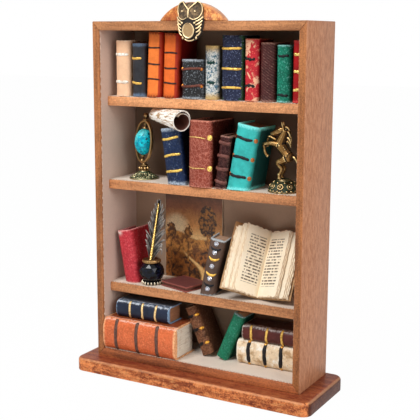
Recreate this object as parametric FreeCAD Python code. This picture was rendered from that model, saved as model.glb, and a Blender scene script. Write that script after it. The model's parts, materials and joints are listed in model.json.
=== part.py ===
import FreeCAD, Part
import math
import os
from dataclasses import dataclass

# Miniature bookcase: a mitred wooden case on a plinth, with shelves of hand-bound books and cast charms.
# Millimetres, +Z up, the open front towards -Y, origin under the middle of the plinth.
# The case is made to measure: its width, depth and height follow from the things it holds.

Vector = FreeCAD.Vector
ORIGIN = Vector(0, 0, 0)
ACROSS = Vector(1, 0, 0)
BACK = Vector(0, 1, 0)
UP = Vector(0, 0, 1)

# Driving dimensions: plinth
plinth_height = 7.3
plinth_overhang_front = 9.5
plinth_overhang_back = 3.0
plinth_overhang_side = 8.75
plinth_corner = 5.0
plinth_round = 1.8

# Driving dimensions: case
side_board = 4.0
end_board = 4.6
back_board = 1.0
shelf_board = 4.8
shelf_setback = 6.6
lining = 0.3
lining_setback = 0.6
floor_headroom = 3.28
lower_headroom = 1.5
middle_headroom = 0.27
upper_headroom = 0.5
back_gap = 1.2

# Driving dimensions: crest and owl badge
crest_width = 36.6
crest_height = 9.0
crest_thickness = 5.0
crest_shift = -1.0
owl_width = 15.0
owl_height = 19.6
owl_drop = 9.9
owl_thickness = 2.0
owl_eye_radius = 3.2
owl_belly_radius = 3.2
owl_relief = 0.9

# Driving dimensions: bookbinding
cover_board = 0.7
page_square = 0.8
band_height = 1.1
band_thickness = 0.35
stud_radius = 0.75
gem_radius = 0.95
gem_height = 0.7
glue_gap = 0.05
touch_gap = 0.15

# Driving dimensions: desk globe
globe_gap = 7.1
globe_setback = 3.6
globe_foot_radius = 8.0
globe_foot_height = 4.2
globe_collar_height = 4.0
globe_ball_radius = 0.85
globe_ball_gap = 0.1
globe_balls = 8
globe_tilt = 7.5
globe_turn = -16.0
meridian_width = 13.4
meridian_height = 23.4
meridian_band = 1.0
meridian_thickness = 1.4
stone_radius = 5.0
stone_length = 14.0
pin_radius = 0.4
running_clearance = 0.05
stone_end_play = 0.15
spacer_radius = 1.4
finial_radius = 1.5
finial_neck = 1.2

# Driving dimensions: rearing horse, its figure drawn for a height of horse_height
horse_gap = 0.3
horse_setback = 1.2
horse_foot_radius = 8.0
horse_foot_height = 6.5
horse_foot_top = 3.2
horse_height = 28.3

# Driving dimensions: inkwell and quill
inkwell_gap = 0.4
inkwell_setback = 0.6
inkwell_foot_radius = 4.9
inkwell_foot_height = 2.0
inkwell_bead_radius = 0.9
inkwell_beads = 14
inkwell_radius = 7.0
inkwell_height = 9.8
inkwell_neck = 4.4
inkwell_facets = 10
inkwell_rim_radius = 5.1
inkwell_rim_hole = 2.9
inkwell_rim_height = 2.0
quill_length = 32.0
quill_width = 12.6
quill_thickness = 0.7
quill_shaft_radius = 0.55
quill_lean = 9.8

# Driving dimensions: picture card, scroll and open book
card_width = 36.0
card_height = 50.0
card_thickness = 0.8
card_offset = 19.8
scroll_length = 31.0
scroll_mouth_radius = 5.4
scroll_tail_radius = 3.0
scroll_wall = 0.7
scroll_heading = 62.0
scroll_dip = 3.0
scroll_overlap = 2.2
scroll_rise = 4.0
open_height = 36.0
open_left_page = 15.0
open_right_page = 15.6
open_flare = 3.7
open_leaves = 5.0
open_gutter = 1.5
open_cover = 0.8
open_square = 0.2
open_spread = 37.0
open_recline = 30.0
open_roll = 6.0
open_turn = 12.0
open_gap = 0.15
upper_end_gap = 0.3
middle_end_gap = 4.6
lower_end_gap = 6.4
floor_end_gap = 0.5
navy_folio_inset = 4.8


@dataclass
class Book:
    """A closed book: sizes over its cover, how it stands, and what is glued on its spine."""
    node: str
    width: float
    height: float
    depth: float
    gap: float = 0.0
    setback: float = 0.6
    lean: float = 0.0
    turn: float = 0.0
    slumped: bool = True
    bulge: float = 1.2
    gilt: tuple = ()
    straps: tuple = ()
    stud_ends: tuple = ()
    gems: tuple = ()


upper_books = [
    Book("beige_book", width=8.8, height=28.8, depth=18.0, gap=4.2, gilt=(0.26, 0.75)),
    Book("charcoal_book", width=8.2, height=27.4, depth=17.0, gap=1.3, setback=0.9, gilt=(0.26, 0.72)),
    Book("orange_left_book", width=8.6, height=33.0, depth=19.0,
         gap=0.8, setback=0.4, lean=2.4, straps=(0.28, 0.51, 0.76)),
    Book("orange_right_book", width=8.8, height=32.4, depth=20.0,
         gap=0.9, setback=0.5, lean=2.0, straps=(0.23, 0.46, 0.70)),
    Book("black_corded_book", width=12.4, height=19.7, depth=16.0,
         gap=1.8, setback=0.4, bulge=2.0, straps=(0.33, 0.76), stud_ends=(-1, 1)),
    Book("marbled_book", width=7.2, height=26.5, depth=17.0, gap=1.3, setback=0.8, straps=(0.32, 0.69)),
    Book("navy_gilt_book", width=11.8, height=31.6, depth=20.0,
         gap=2.3, setback=0.3, gilt=(0.20, 0.49, 0.80)),
    Book("mottled_red_book", width=7.2, height=30.0, depth=18.0, gap=1.0, setback=0.5, straps=(0.25, 0.68)),
    Book("maroon_book", width=8.0, height=28.3, depth=18.0, gap=0.9, setback=0.9),
    Book("green_book", width=7.0, height=27.2, depth=17.0, gap=1.0, setback=0.6, straps=(0.13, 0.81)),
    Book("red_gilt_book", width=6.0, height=29.4, depth=18.0,
         gap=1.4, setback=0.8, gilt=(0.21, 0.50, 0.78)),
]
blue_book = Book("blue_book", width=11.4, height=28.6, depth=17.0,
                 gap=10.3, lean=-8.5, gilt=(0.22, 0.51, 0.81))
russet_book = Book("russet_book", width=13.2, height=33.9, depth=26.2,
                   gap=2.2, setback=-1.1, bulge=2.2, gilt=(0.29, 0.75), stud_ends=(1,))
oxblood_book = Book("oxblood_book", width=6.0, height=26.5, depth=18.0,
                    gap=1.35, lean=7.0, straps=(0.12, 0.37, 0.62, 0.87))
turquoise_book = Book("turquoise_book", width=12.4, height=32.0, depth=20.0,
                      gap=0.35, lean=10.3, bulge=1.8, straps=(0.19, 0.49, 0.79), stud_ends=(-1, 1))
crimson_book = Book("crimson_book", width=9.0, height=28.0, depth=19.0, gap=1.8, setback=3.2, lean=-10.5)
flat_maroon_book = Book("flat_maroon_book", width=2.8, height=20.0, depth=17.0,
                        gap=0.4, setback=0.2, turn=163.0, bulge=0.5)
jewelled_book = Book("jewelled_book", width=8.4, height=29.6, depth=15.0,
                     gap=0.2, lean=11.0, turn=10.0, bulge=1.8, gilt=(0.40, 0.68), straps=(0.20, 0.86),
                     gems=(0.10, 0.29, 0.52, 0.77, 0.93))
tan_folio = Book("tan_folio", width=17.2, height=45.4, depth=21.0,
                 gap=0.3, setback=-1.2, bulge=2.6, straps=(0.18, 0.47, 0.75))
navy_folio = Book("navy_folio", width=9.2, height=33.4, depth=14.0, setback=4.5, gilt=(0.26, 0.50, 0.75))
brown_clasp_book = Book("brown_clasp_book", width=6.6, height=27.0, depth=16.0,
                        gap=0.5, setback=13.6, lean=-24.0, slumped=False, straps=(0.23, 0.53, 0.81),
                        stud_ends=(1,))
emerald_book = Book("emerald_book", width=6.6, height=27.0, depth=15.0,
                    gap=3.4, setback=13.0, lean=22.5, slumped=False, bulge=1.8)
umber_book = Book("umber_book", width=8.2, height=34.2, depth=16.0, setback=13.6, gilt=(0.15, 0.41, 0.665))
vellum_book = Book("vellum_book", width=13.0, height=37.0, depth=17.0,
                   gap=0.3, setback=13.2, bulge=2.2, straps=(0.185, 0.435, 0.68), stud_ends=(-1, 1))


# Small helpers: a thing on a shelf is a table from node name to its solids

def wire_face(edges):
    """The flat face inside a closed run of edges."""
    return Part.Face(Part.Wire([edge.toShape() for edge in edges]))


def polygon_face(points):
    """The flat face inside straight sides."""
    return Part.Face(Part.makePolygon(list(points) + [points[0]]))


def revolved(points):
    """A solid turned about the upright axis from an outline of (radius, height) points."""
    outline = [Vector(radius, 0, height) for radius, height in points]
    return polygon_face(outline).revolve(ORIGIN, UP, 360)


def solids_of(thing):
    """Every solid of a thing in one list."""
    return [solid for group in thing.values() for solid in group]


def box_of(thing):
    """The bounding box of a thing."""
    return Part.makeCompound(solids_of(thing)).optimalBoundingBox(False, False)


def move(thing, shift):
    """Moves all solids of a thing."""
    for solid in solids_of(thing):
        solid.translate(shift)


def turn_about(thing, axis, angle):
    """Turns all solids of a thing about an axis through the origin."""
    for solid in solids_of(thing):
        solid.rotate(ORIGIN, axis, angle)


def set_down(thing, leader, front):
    """Stands a thing on the level 0, with its leading piece the given way behind the shelf's edge."""
    move(thing, Vector(0, front - box_of({leader: thing[leader]}).YMin, -box_of(thing).ZMin))


def close_in(thing, others, way, gap):
    """Moves a thing along a way until it all but touches the others."""
    there = Part.makeCompound([solid for other in others for solid in solids_of(other)])
    step = 8.0
    while step > 0.01:
        move(thing, way * step)
        if Part.makeCompound(solids_of(thing)).distToShape(there)[0] < gap:
            move(thing, way * -step)
            step = step / 2


def joined(*things):
    """One thing out of several."""
    whole = {}
    for thing in things:
        for node, group in thing.items():
            whole.setdefault(node, []).extend(group)
    return whole


# Bookbinding

def spine_arc(width, bulge, forward):
    """The rounded front of a spine in plan, moved forward from the leather."""
    half = width / 2
    return Part.Arc(Vector(-half, bulge - forward, 0), Vector(0, -forward, 0), Vector(half, bulge - forward, 0))


def spine_radius(book):
    """The radius of the rounded spine."""
    half = book.width / 2
    return (half * half + book.bulge * book.bulge) / (2 * book.bulge)


def cover_plan(book):
    """The cover seen from its head: two boards joined by the rounded spine."""
    half = book.width / 2
    inner = half - cover_board
    hinge = book.bulge + cover_board
    corners = [Vector(half, book.bulge, 0), Vector(half, book.depth, 0), Vector(inner, book.depth, 0),
               Vector(inner, hinge, 0), Vector(-inner, hinge, 0), Vector(-inner, book.depth, 0),
               Vector(-half, book.depth, 0), Vector(-half, book.bulge, 0)]
    sides = [Part.LineSegment(start, end) for start, end in zip(corners, corners[1:])]
    return wire_face([spine_arc(book.width, book.bulge, 0)] + sides)


def spine_band(book, share):
    """A band glued round the spine at a share of the book's height."""
    inner = spine_arc(book.width, book.bulge, glue_gap)
    outer = spine_arc(book.width, book.bulge, glue_gap + band_thickness)
    ends = [Part.LineSegment(inner.EndPoint, outer.EndPoint), Part.LineSegment(outer.StartPoint, inner.StartPoint)]
    band = wire_face([inner, ends[0], outer, ends[1]]).extrude(UP * band_height)
    band.translate(UP * (share * book.height - band_height / 2))
    return band


def band_stud(book, share, end):
    """A stud beside the end of a band, seated on the rounded spine."""
    radius = spine_radius(book)
    reach = radius + 2 * glue_gap + band_thickness + stud_radius
    swing = end * math.asin((book.width / 2 - stud_radius) / reach)
    centre = Vector(reach * math.sin(swing), radius - reach * math.cos(swing), share * book.height)
    return Part.makeSphere(stud_radius, centre)


def spine_gem(book, share):
    """A cut glass stone on the middle of the spine, seated on the leather."""
    seat = Vector(0, -glue_gap, share * book.height)
    return Part.makeCone(gem_radius, gem_radius * 0.55, gem_height, seat, -BACK)


def bound(book):
    """The pieces of a closed book, upright with its spine's crown on the origin and its tail at level 0."""
    tail = 0.0
    if book.slumped:
        tail = book.width * math.tan(math.radians(abs(book.lean)))
    cover = cover_plan(book).extrude(UP * (book.height + tail))
    cover.translate(UP * -tail)
    inner = book.width - 2 * cover_board
    hinge = book.bulge + cover_board
    leaves = Part.makeBox(inner, book.depth - hinge - page_square, book.height + tail - 2 * page_square,
                          Vector(-inner / 2, hinge, page_square - tail))
    bands = book.gilt + book.straps
    return {
        book.node: [cover],
        "page_blocks": [leaves],
        "gilt_bands": [spine_band(book, share) for share in book.gilt],
        "dark_straps": [spine_band(book, share) for share in book.straps],
        "studs": [band_stud(book, share, end) for share in bands for end in book.stud_ends],
        "spine_gems": [spine_gem(book, share) for share in book.gems],
    }


def trimmed(solid, level):
    """What of a solid lies above a level."""
    bounds = solid.BoundBox
    above = Part.makeBox(bounds.XLength + 2, bounds.YLength + 2, bounds.ZMax - level + 1,
                         Vector(bounds.XMin - 1, bounds.YMin - 1, level))
    return solid.common(above).Solids[0]


def standing(book):
    """A book on its tail, leaning and turned as it stands; a slumped one has its tail flat on the shelf."""
    thing = bound(book)
    turn_about(thing, BACK, book.lean)
    if book.slumped and book.lean:
        level = -book.width / 2 * math.sin(math.radians(abs(book.lean)))
        thing[book.node] = [trimmed(thing[book.node][0], level)]
        thing["page_blocks"] = [trimmed(thing["page_blocks"][0], level + page_square)]
    turn_about(thing, UP, book.turn)
    set_down(thing, book.node, book.setback)
    return thing


def lying(book):
    """A book on its side, its height along the shelf and its spine towards the front, before any turn."""
    thing = bound(book)
    turn_about(thing, BACK, 90)
    turn_about(thing, UP, book.turn)
    set_down(thing, book.node, book.setback)
    return thing


# Cast charms

def desk_globe():
    """The desk globe: foot, beaded collar, oval ring and the drilled stone on its pin."""
    foot_rim = 0.9
    ball_ring = (globe_ball_radius + globe_ball_gap / 2) / math.sin(math.pi / globe_balls)
    stem_radius = ball_ring - globe_ball_radius * 0.7
    waist = stem_radius + 0.6
    foot = revolved([(0, 0), (globe_foot_radius, 0), (globe_foot_radius, foot_rim),
                     (globe_foot_radius * 0.62, globe_foot_height * 0.45),
                     (waist, globe_foot_height), (0, globe_foot_height)])
    collar_top = globe_foot_height + globe_collar_height
    stem = Part.makeCylinder(stem_radius, globe_collar_height, UP * globe_foot_height)
    balls = []
    for step in range(globe_balls):
        angle = 2 * math.pi * step / globe_balls
        middle = globe_foot_height + globe_ball_radius * 1.5
        balls.append(Part.makeSphere(globe_ball_radius, Vector(ball_ring * math.cos(angle),
                                                               ball_ring * math.sin(angle), middle)))
    collar = stem.fuse(balls)

    half_height = meridian_height / 2
    outer = Part.Ellipse(ORIGIN, half_height, meridian_width / 2)
    inner = Part.Ellipse(ORIGIN, half_height - meridian_band, meridian_width / 2 - meridian_band)
    band = wire_face([outer]).cut(wire_face([inner]))
    meridian = band.extrude(UP * meridian_thickness)
    meridian.translate(UP * (-meridian_thickness / 2))
    meridian.rotate(ORIGIN, ACROSS, 90)
    meridian.rotate(ORIGIN, BACK, 90)
    bore = Part.makeCylinder(pin_radius + running_clearance, 2 * meridian_height, UP * -meridian_height)
    meridian = meridian.cut(bore)

    arc = Part.Ellipse(ORIGIN, stone_length / 2, stone_radius)
    outline = Part.Wire([Part.Edge(arc, 0, math.pi), Part.makeLine(arc.value(math.pi), arc.value(0))])
    stone = Part.Face(outline).revolve(ORIGIN, ACROSS, 360)
    stone.rotate(ORIGIN, BACK, 90)
    stone = stone.cut(bore)

    spacer_share = spacer_radius / (meridian_width / 2 - meridian_band)
    ring_inside = (half_height - meridian_band) * math.sqrt(1 - spacer_share * spacer_share)
    spacer_length = ring_inside - touch_gap - stone_length / 2 - stone_end_play
    pin_top = half_height + finial_neck
    pin_foot = half_height - touch_gap
    pin = Part.makeCylinder(pin_radius, pin_top + pin_foot, UP * -pin_foot)
    lower_spacer = Part.makeCylinder(spacer_radius, spacer_length,
                                     UP * -(stone_length / 2 + stone_end_play + spacer_length))
    upper_spacer = Part.makeCylinder(spacer_radius, spacer_length, UP * (stone_length / 2 + stone_end_play))
    finial = Part.makeSphere(finial_radius, UP * (pin_top + finial_radius * 0.9))
    pin = pin.fuse([lower_spacer, upper_spacer, finial])

    swinging = {"globe_meridian": [meridian], "globe_stone": [stone], "globe_pin": [pin]}
    turn_about(swinging, BACK, globe_tilt)
    turn_about(swinging, UP, globe_turn)
    seat = box_of({"globe_meridian": [meridian]}).ZMin
    move(swinging, UP * (collar_top - seat))
    thing = joined({"globe_foot": [foot], "globe_collar": [collar]}, swinging)
    set_down(thing, "globe_foot", globe_setback)
    return thing


def limb(points):
    """Tapered rods with round joints along (x, y, z, radius) points, as one list of solids."""
    pieces = []
    for start, end in zip(points, points[1:]):
        base = Vector(*start[:3])
        run = Vector(*end[:3]) - base
        taper = max(abs(start[3] - end[3]), 0.01)
        lower = max(start[3], end[3]) - taper if start[3] < end[3] else start[3]
        upper = lower + taper if start[3] < end[3] else lower - taper
        pieces.append(Part.makeCone(lower, upper, run.Length, base, run))
    pieces += [Part.makeSphere(point[3] * 1.03, Vector(*point[:3])) for point in points]
    return pieces


def rearing_horse():
    """The cast horse on its domed foot, facing along -X, drawn in thousandths of its height."""
    unit = horse_height / 1000
    parts = limb([(-75, 0, 590, 88), (85, 0, 400, 95)])
    parts += limb([(-70, 0, 640, 82), (-5, 0, 860, 58)])
    parts += limb([(-15, 0, 890, 62), (-240, 0, 812, 30)])
    parts += limb([(50, 0, 900, 26), (120, 0, 770, 36), (60, 0, 630, 30)])
    parts += limb([(165, 0, 392, 32), (245, 0, 300, 30), (295, 0, 190, 12)])
    for side in (-1, 1):
        parts += limb([(-20, side * 26, 925, 22), (-42, side * 32, 992, 7)])
        parts += limb([(70, side * 45, 375, 72), (-80, side * 55, 308, 44), (-18, side * 55, 185, 28),
                       (-62, side * 55, 60, 28)])
        parts.append(Part.makeCylinder(36, 66, Vector(-60, side * 55, 0)))
    parts += limb([(-115, -44, 610, 48), (-375, -52, 594, 28), (-315, -52, 395, 24)])
    parts += limb([(-115, 44, 630, 48), (-325, 56, 712, 28), (-365, 56, 545, 24)])
    figure = parts[0].fuse(parts[1:])
    figure.scale(unit)
    foot = revolved([(0, 0), (horse_foot_radius, 0), (horse_foot_radius, 1.0),
                     (horse_foot_radius * 0.86, horse_foot_height * 0.45),
                     (horse_foot_top, horse_foot_height - 0.8), (horse_foot_top, horse_foot_height),
                     (0, horse_foot_height)])
    figure.translate(UP * horse_foot_height)
    thing = {"horse_foot": [foot], "horse_figure": figure.Solids}
    set_down(thing, "horse_foot", horse_setback)
    return thing


def faceted_wire(radius, level):
    """A regular ring of facet corners."""
    corners = []
    for step in range(inkwell_facets + 1):
        angle = 2 * math.pi * step / inkwell_facets
        corners.append(Vector(radius * math.cos(angle), radius * math.sin(angle), level))
    return Part.makePolygon(corners)


def inkwell():
    """The faceted inkwell on its beaded foot, with a bronze rim and a feather quill standing in it."""
    ring = Part.makeCylinder(inkwell_foot_radius, inkwell_foot_height)
    beads = []
    for step in range(inkwell_beads):
        angle = 2 * math.pi * step / inkwell_beads
        beads.append(Part.makeSphere(inkwell_bead_radius, Vector(inkwell_foot_radius * math.cos(angle),
                                                                 inkwell_foot_radius * math.sin(angle),
                                                                 inkwell_foot_height / 2)))
    foot = ring.fuse(beads)
    shoulder = inkwell_foot_height + inkwell_height
    levels = [(inkwell_neck, inkwell_foot_height), (inkwell_radius, inkwell_foot_height + inkwell_height * 0.36),
              (inkwell_radius, inkwell_foot_height + inkwell_height * 0.56), (inkwell_neck, shoulder)]
    bowl = Part.makeLoft([faceted_wire(radius, level) for radius, level in levels], True, True)
    rim = revolved([(inkwell_rim_hole, shoulder), (inkwell_rim_radius * 0.85, shoulder),
                    (inkwell_rim_radius, shoulder + inkwell_rim_height / 2),
                    (inkwell_rim_radius * 0.85, shoulder + inkwell_rim_height),
                    (inkwell_rim_hole, shoulder + inkwell_rim_height)])
    half = quill_width / 2
    stalk = inkwell_rim_height + 1.4
    crown = stalk + quill_length
    leaf = [(0.09, 0.0), (0.75, 0.1), (1.0, 0.25), (0.86, 0.45), (0.58, 0.66), (0.28, 0.85), (0.0, 1.0)]
    right = [Vector(half * wide, 0, stalk + quill_length * high) for wide, high in leaf]
    left = [Vector(-point.x, 0, point.z) for point in right[-2::-1]]
    vane = polygon_face(right + left).extrude(BACK * quill_thickness)
    vane.translate(BACK * (quill_shaft_radius + glue_gap))
    shaft = Part.makeCone(quill_shaft_radius, quill_shaft_radius * 0.5, crown * 0.92)
    quill = {"quill_vane": [vane], "quill_shaft": [shaft]}
    turn_about(quill, BACK, quill_lean)
    lift = shoulder + quill_shaft_radius * math.sin(math.radians(quill_lean)) + glue_gap
    move(quill, Vector(-inkwell_rim_hole * 0.35, 0, lift))
    thing = joined({"inkwell_foot": [foot], "inkwell_bowl": [bowl], "inkwell_rim": [rim]}, quill)
    set_down(thing, "inkwell_bowl", inkwell_setback)
    return thing


def owl_badge():
    """The cast owl, upright with its back on the plane y = 0, its top at owl_height."""
    half = owl_width / 2
    ears = owl_height
    brow = owl_height - 2.2
    right = [Vector(half * 0.62, 0, ears), Vector(half * 0.97, 0, owl_height * 0.76),
             Vector(half, 0, owl_height * 0.45), Vector(half * 0.72, 0, owl_height * 0.13), Vector(0, 0, 0)]
    left = [Vector(-point.x, 0, point.z) for point in right]
    edge_right = Part.BSplineCurve()
    edge_right.interpolate(right)
    edge_left = Part.BSplineCurve()
    edge_left.interpolate(left)
    dip = Vector(0, 0, brow)
    plate = wire_face([edge_right, edge_left, Part.LineSegment(left[0], dip), Part.LineSegment(dip, right[0])])
    body = plate.extrude(BACK * -owl_thickness)
    eye_level = owl_height * 0.70
    front = -owl_thickness
    relief = []
    for side in (-1, 1):
        eye = Vector(side * owl_eye_radius * 1.02, front, eye_level)
        relief.append(Part.makeCylinder(owl_eye_radius, owl_relief, eye, -BACK))
        relief.append(Part.makeSphere(owl_eye_radius * 0.2, eye - BACK * owl_relief))
    relief.append(Part.makeCylinder(owl_belly_radius, owl_relief, Vector(0, front, owl_height * 0.30), -BACK))
    relief.append(Part.makeCone(0.9, 0.4, 4.2, Vector(0, front - owl_relief * 0.6, eye_level + 1.6), -UP))
    return body.fuse(relief)


# Sheet things

def scroll_at(mouth):
    """The rolled sheet: a thin cone, open at its wide mouth."""
    heading = math.radians(scroll_heading)
    dip = math.radians(scroll_dip)
    outward = Vector(math.sin(heading) * math.cos(dip), -math.cos(heading) * math.cos(dip), -math.sin(dip))
    tail = mouth - outward * scroll_length
    outer = Part.makeCone(scroll_tail_radius, scroll_mouth_radius, scroll_length, tail, outward)
    inner = Part.makeCone(scroll_tail_radius - scroll_wall, scroll_mouth_radius - scroll_wall, scroll_length,
                          tail, outward)
    return {"parchment_scroll": [outer.cut(inner)]}


def open_book():
    """The open book, reclining: two blocks of leaves spread from the gutter, on a cover that follows them."""
    spread = math.radians(open_spread)
    spine = BACK * open_gutter
    halves = {}
    boards = []
    for side, node, page in ((-1, "open_book_left_leaves", open_left_page),
                             (1, "open_book_right_leaves", open_right_page)):
        along = Vector(side * math.cos(spread), -math.sin(spread), 0)
        behind = Vector(side * math.sin(spread), math.cos(spread), 0)
        fore = along * (page + open_flare) + behind * open_leaves
        halves[node] = [polygon_face([ORIGIN, along * page, fore, spine]).extrude(UP * open_height)]
        run = fore - spine
        run.normalize()
        backing = Vector(-run.y * side, run.x * side, 0) * open_cover
        edge = fore + run * open_square
        hinge = spine + BACK * (open_cover * open_cover / backing.y)
        board = polygon_face([spine, edge, edge + backing, hinge])
        boards.append(board.extrude(UP * (open_height + 2 * open_square)))
    cover = boards[0].fuse(boards[1])
    cover.translate(UP * -open_square)
    thing = joined({"open_book_cover": [cover]}, halves)
    turn_about(thing, ACROSS, -open_recline)
    turn_about(thing, BACK, open_roll)
    turn_about(thing, UP, open_turn)
    set_down(thing, "open_book_cover", 0)
    return thing


# Setting things out along a shelf

def outline(thing):
    """The convex outline of a thing seen from the front, as (x, z) points in order."""
    points = set()
    for solid in solids_of(thing):
        points.update((round(point.x, 4), round(point.z, 4)) for point in solid.tessellate(0.05)[0])
    chains = []
    for ordered in (sorted(points), sorted(points, reverse=True)):
        chain = []
        for x, z in ordered:
            while len(chain) > 1 and ((chain[-1][0] - chain[-2][0]) * (z - chain[-2][1])
                                      <= (chain[-1][1] - chain[-2][1]) * (x - chain[-2][0])):
                chain.pop()
            chain.append((x, z))
        chains += chain[:-1]
    return chains


def reach(shape, level):
    """The left and right ends of an outline at a level."""
    ends = []
    for (x0, z0), (x1, z1) in zip(shape, shape[1:] + shape[:1]):
        if min(z0, z1) <= level <= max(z0, z1):
            share = 0.0 if z0 == z1 else (level - z0) / (z1 - z0)
            ends.append(x0 + (x1 - x0) * share)
    return min(ends), max(ends)


def clear_of(first, second):
    """How far the second outline has to move right to stand clear of the first."""
    low = max(min(z for x, z in first), min(z for x, z in second))
    high = min(max(z for x, z in first), max(z for x, z in second))
    levels = [z for x, z in first + second if low <= z <= high] + [low, high]
    if low > high:
        return -math.inf
    return max(reach(first, level)[1] - reach(second, level)[0] for level in levels)


def set_out(shapes, gaps, stretch):
    """Places of the things of a row from the left wall on, and the width that they take up."""
    places = []
    for shape, gap in zip(shapes, gaps):
        place = -min(x for x, z in shape)
        for other, there in zip(shapes, places):
            place = max(place, clear_of(other, shape) + there)
        places.append(place + gap * stretch)
    end = max(x + place for shape, place in zip(shapes, places) for x, z in shape)
    return places, end + gaps[-1] * stretch


def fill_row(things, gaps, width):
    """Moves the things of a row so that they fill a width, with gaps in the given proportion."""
    shapes = [outline(thing) for thing in things]
    tight = set_out(shapes, gaps, 0.0)[1]
    loose = set_out(shapes, gaps, 1.0)[1]
    stretch = (width - tight) / (loose - tight)
    places = set_out(shapes, gaps, stretch)[0]
    for thing, place in zip(things, places):
        move(thing, ACROSS * place)


# What stands on each shelf
upper_row = [standing(book) for book in upper_books]
upper_gaps = [book.gap for book in upper_books] + [upper_end_gap]
blue = standing(blue_book)
russet = standing(russet_book)
globe = desk_globe()
horse = rearing_horse()
middle_row = [globe, blue, russet, standing(oxblood_book), standing(turquoise_book), horse]
middle_gaps = [globe_gap, blue_book.gap, russet_book.gap, oxblood_book.gap, turquoise_book.gap, horse_gap,
               middle_end_gap]
reader = open_book()
lower_row = [standing(crimson_book), inkwell(), lying(flat_maroon_book), standing(jewelled_book), reader]
lower_gaps = [crimson_book.gap, inkwell_gap, flat_maroon_book.gap, jewelled_book.gap, open_gap,
              lower_end_gap]
tan = lying(tan_folio)
navy = lying(navy_folio)
move(navy, Vector(box_of(tan).XMin + navy_folio_inset - box_of(navy).XMin, 0, tan_folio.width))
vellum = lying(vellum_book)
umber = lying(umber_book)
move(umber, Vector(box_of(vellum).XMax - box_of(umber).XMax, 0, vellum_book.width))
floor_row = [joined(tan, navy), standing(brown_clasp_book), standing(emerald_book), joined(vellum, umber)]
floor_gaps = [tan_folio.gap, brown_clasp_book.gap, emerald_book.gap, vellum_book.gap, floor_end_gap]

# The clear width and depth between the linings follow from the upper books and from the deepest thing
clear_width = set_out([outline(thing) for thing in upper_row], upper_gaps, 1.0)[1]
shelved = upper_row + middle_row + lower_row[:-1]
shelf_depth = max([box_of(thing).YMax for thing in shelved]
                  + [box_of(thing).YMax - shelf_setback for thing in floor_row]) + back_gap
for row, gaps in ((upper_row, upper_gaps), (middle_row, middle_gaps), (lower_row, lower_gaps),
                  (floor_row, floor_gaps)):
    fill_row(row, gaps, clear_width)
move(reader, BACK * (shelf_depth - touch_gap - box_of(reader).YMax))

# The scroll lies on the head of the blue book, its mouth against the russet book's spine
mouth_side = scroll_mouth_radius * math.cos(math.radians(scroll_heading))
russet_box = box_of({"russet_book": russet["russet_book"]})
scroll = scroll_at(Vector(russet_box.XMin + scroll_overlap - mouth_side, russet_box.YMin - 2 * scroll_mouth_radius,
                          box_of(blue).ZMax + scroll_rise))
close_in(scroll, [russet], BACK, touch_gap)
close_in(scroll, [blue, russet], -UP, touch_gap)
middle_row.append(scroll)

# Levels of the boards, each shelf as high as what stands below it needs
case_bottom = plinth_height


def height_of(row):
    """The height of the tallest thing of a row."""
    return max(box_of(thing).ZMax for thing in row)


floor_level = case_bottom + end_board + lining
lower_shelf_under = floor_level + height_of(floor_row) + floor_headroom
lower_level = lower_shelf_under + shelf_board + lining
middle_shelf_under = lower_level + max(height_of(lower_row), card_height) + lower_headroom
middle_level = middle_shelf_under + shelf_board + lining
upper_shelf_under = middle_level + height_of(middle_row) + middle_headroom
upper_level = upper_shelf_under + shelf_board + lining
ceiling = upper_level + height_of(upper_row) + upper_headroom
case_top = ceiling + end_board

# Plan of the case, with the plinth's middle on the origin
inner_width = clear_width + 2 * lining
case_width = inner_width + 2 * side_board
case_depth = shelf_setback + shelf_depth + lining + back_board
plinth_width = case_width + 2 * plinth_overhang_side
plinth_depth = plinth_overhang_front + case_depth + plinth_overhang_back
case_front = plinth_overhang_front - plinth_depth / 2
case_back = case_front + case_depth
shelf_front = case_front + shelf_setback
shelf_back = shelf_front + shelf_depth
half_case = case_width / 2
half_inner = inner_width / 2
half_clear = clear_width / 2

pieces = {}


def board(node, low, high):
    """Adds a plain board between two corners to a node."""
    size = Vector(*high) - Vector(*low)
    pieces.setdefault(node, []).append(Part.makeBox(size.x, size.y, size.z, Vector(*low)))


def mitred(node, outline_points):
    """Adds a board of the case's depth, drawn from the front with its mitred ends."""
    front = [Vector(x, case_front, z) for x, z in outline_points]
    pieces[node] = [polygon_face(front).extrude(BACK * case_depth)]


# Plinth, with rounded corners and rounded upper edges
slab = Part.makeBox(plinth_width, plinth_depth, plinth_height, Vector(-plinth_width / 2, -plinth_depth / 2, 0))
upright = [edge for edge in slab.Edges if abs(edge.tangentAt(edge.FirstParameter).z) > 0.5]
slab = slab.makeFillet(plinth_corner, upright)
rim = [edge for edge in slab.Edges if edge.BoundBox.ZMin > plinth_height - 1e-6]
pieces["plinth"] = [slab.makeFillet(plinth_round, rim)]

# Four mitred boards, the back let in between them and the shelves between the linings
side_outline = [(half_case, case_bottom), (half_case, case_top),
                (half_inner, case_top - end_board), (half_inner, case_bottom + end_board)]
mitred("right_side", side_outline)
mitred("left_side", [(-x, z) for x, z in side_outline])
mitred("top_board", [(-half_case, case_top), (half_case, case_top), (half_inner, ceiling), (-half_inner, ceiling)])
mitred("bottom_board", [(-half_case, case_bottom), (half_case, case_bottom),
                        (half_inner, case_bottom + end_board), (-half_inner, case_bottom + end_board)])
board("back_board", (-half_inner, case_back - back_board, case_bottom + end_board), (half_inner, case_back, ceiling))
for node, under in (("lower_shelf", lower_shelf_under), ("middle_shelf", middle_shelf_under),
                    ("upper_shelf", upper_shelf_under)):
    board(node, (-half_clear, shelf_front, under), (half_clear, shelf_back, under + shelf_board))
    board("board_linings", (-half_clear, shelf_front + lining_setback, under + shelf_board),
          (half_clear, shelf_back, under + shelf_board + lining))
board("board_linings", (-half_clear, case_front + lining_setback, case_bottom + end_board),
      (half_clear, shelf_back, floor_level))
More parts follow.
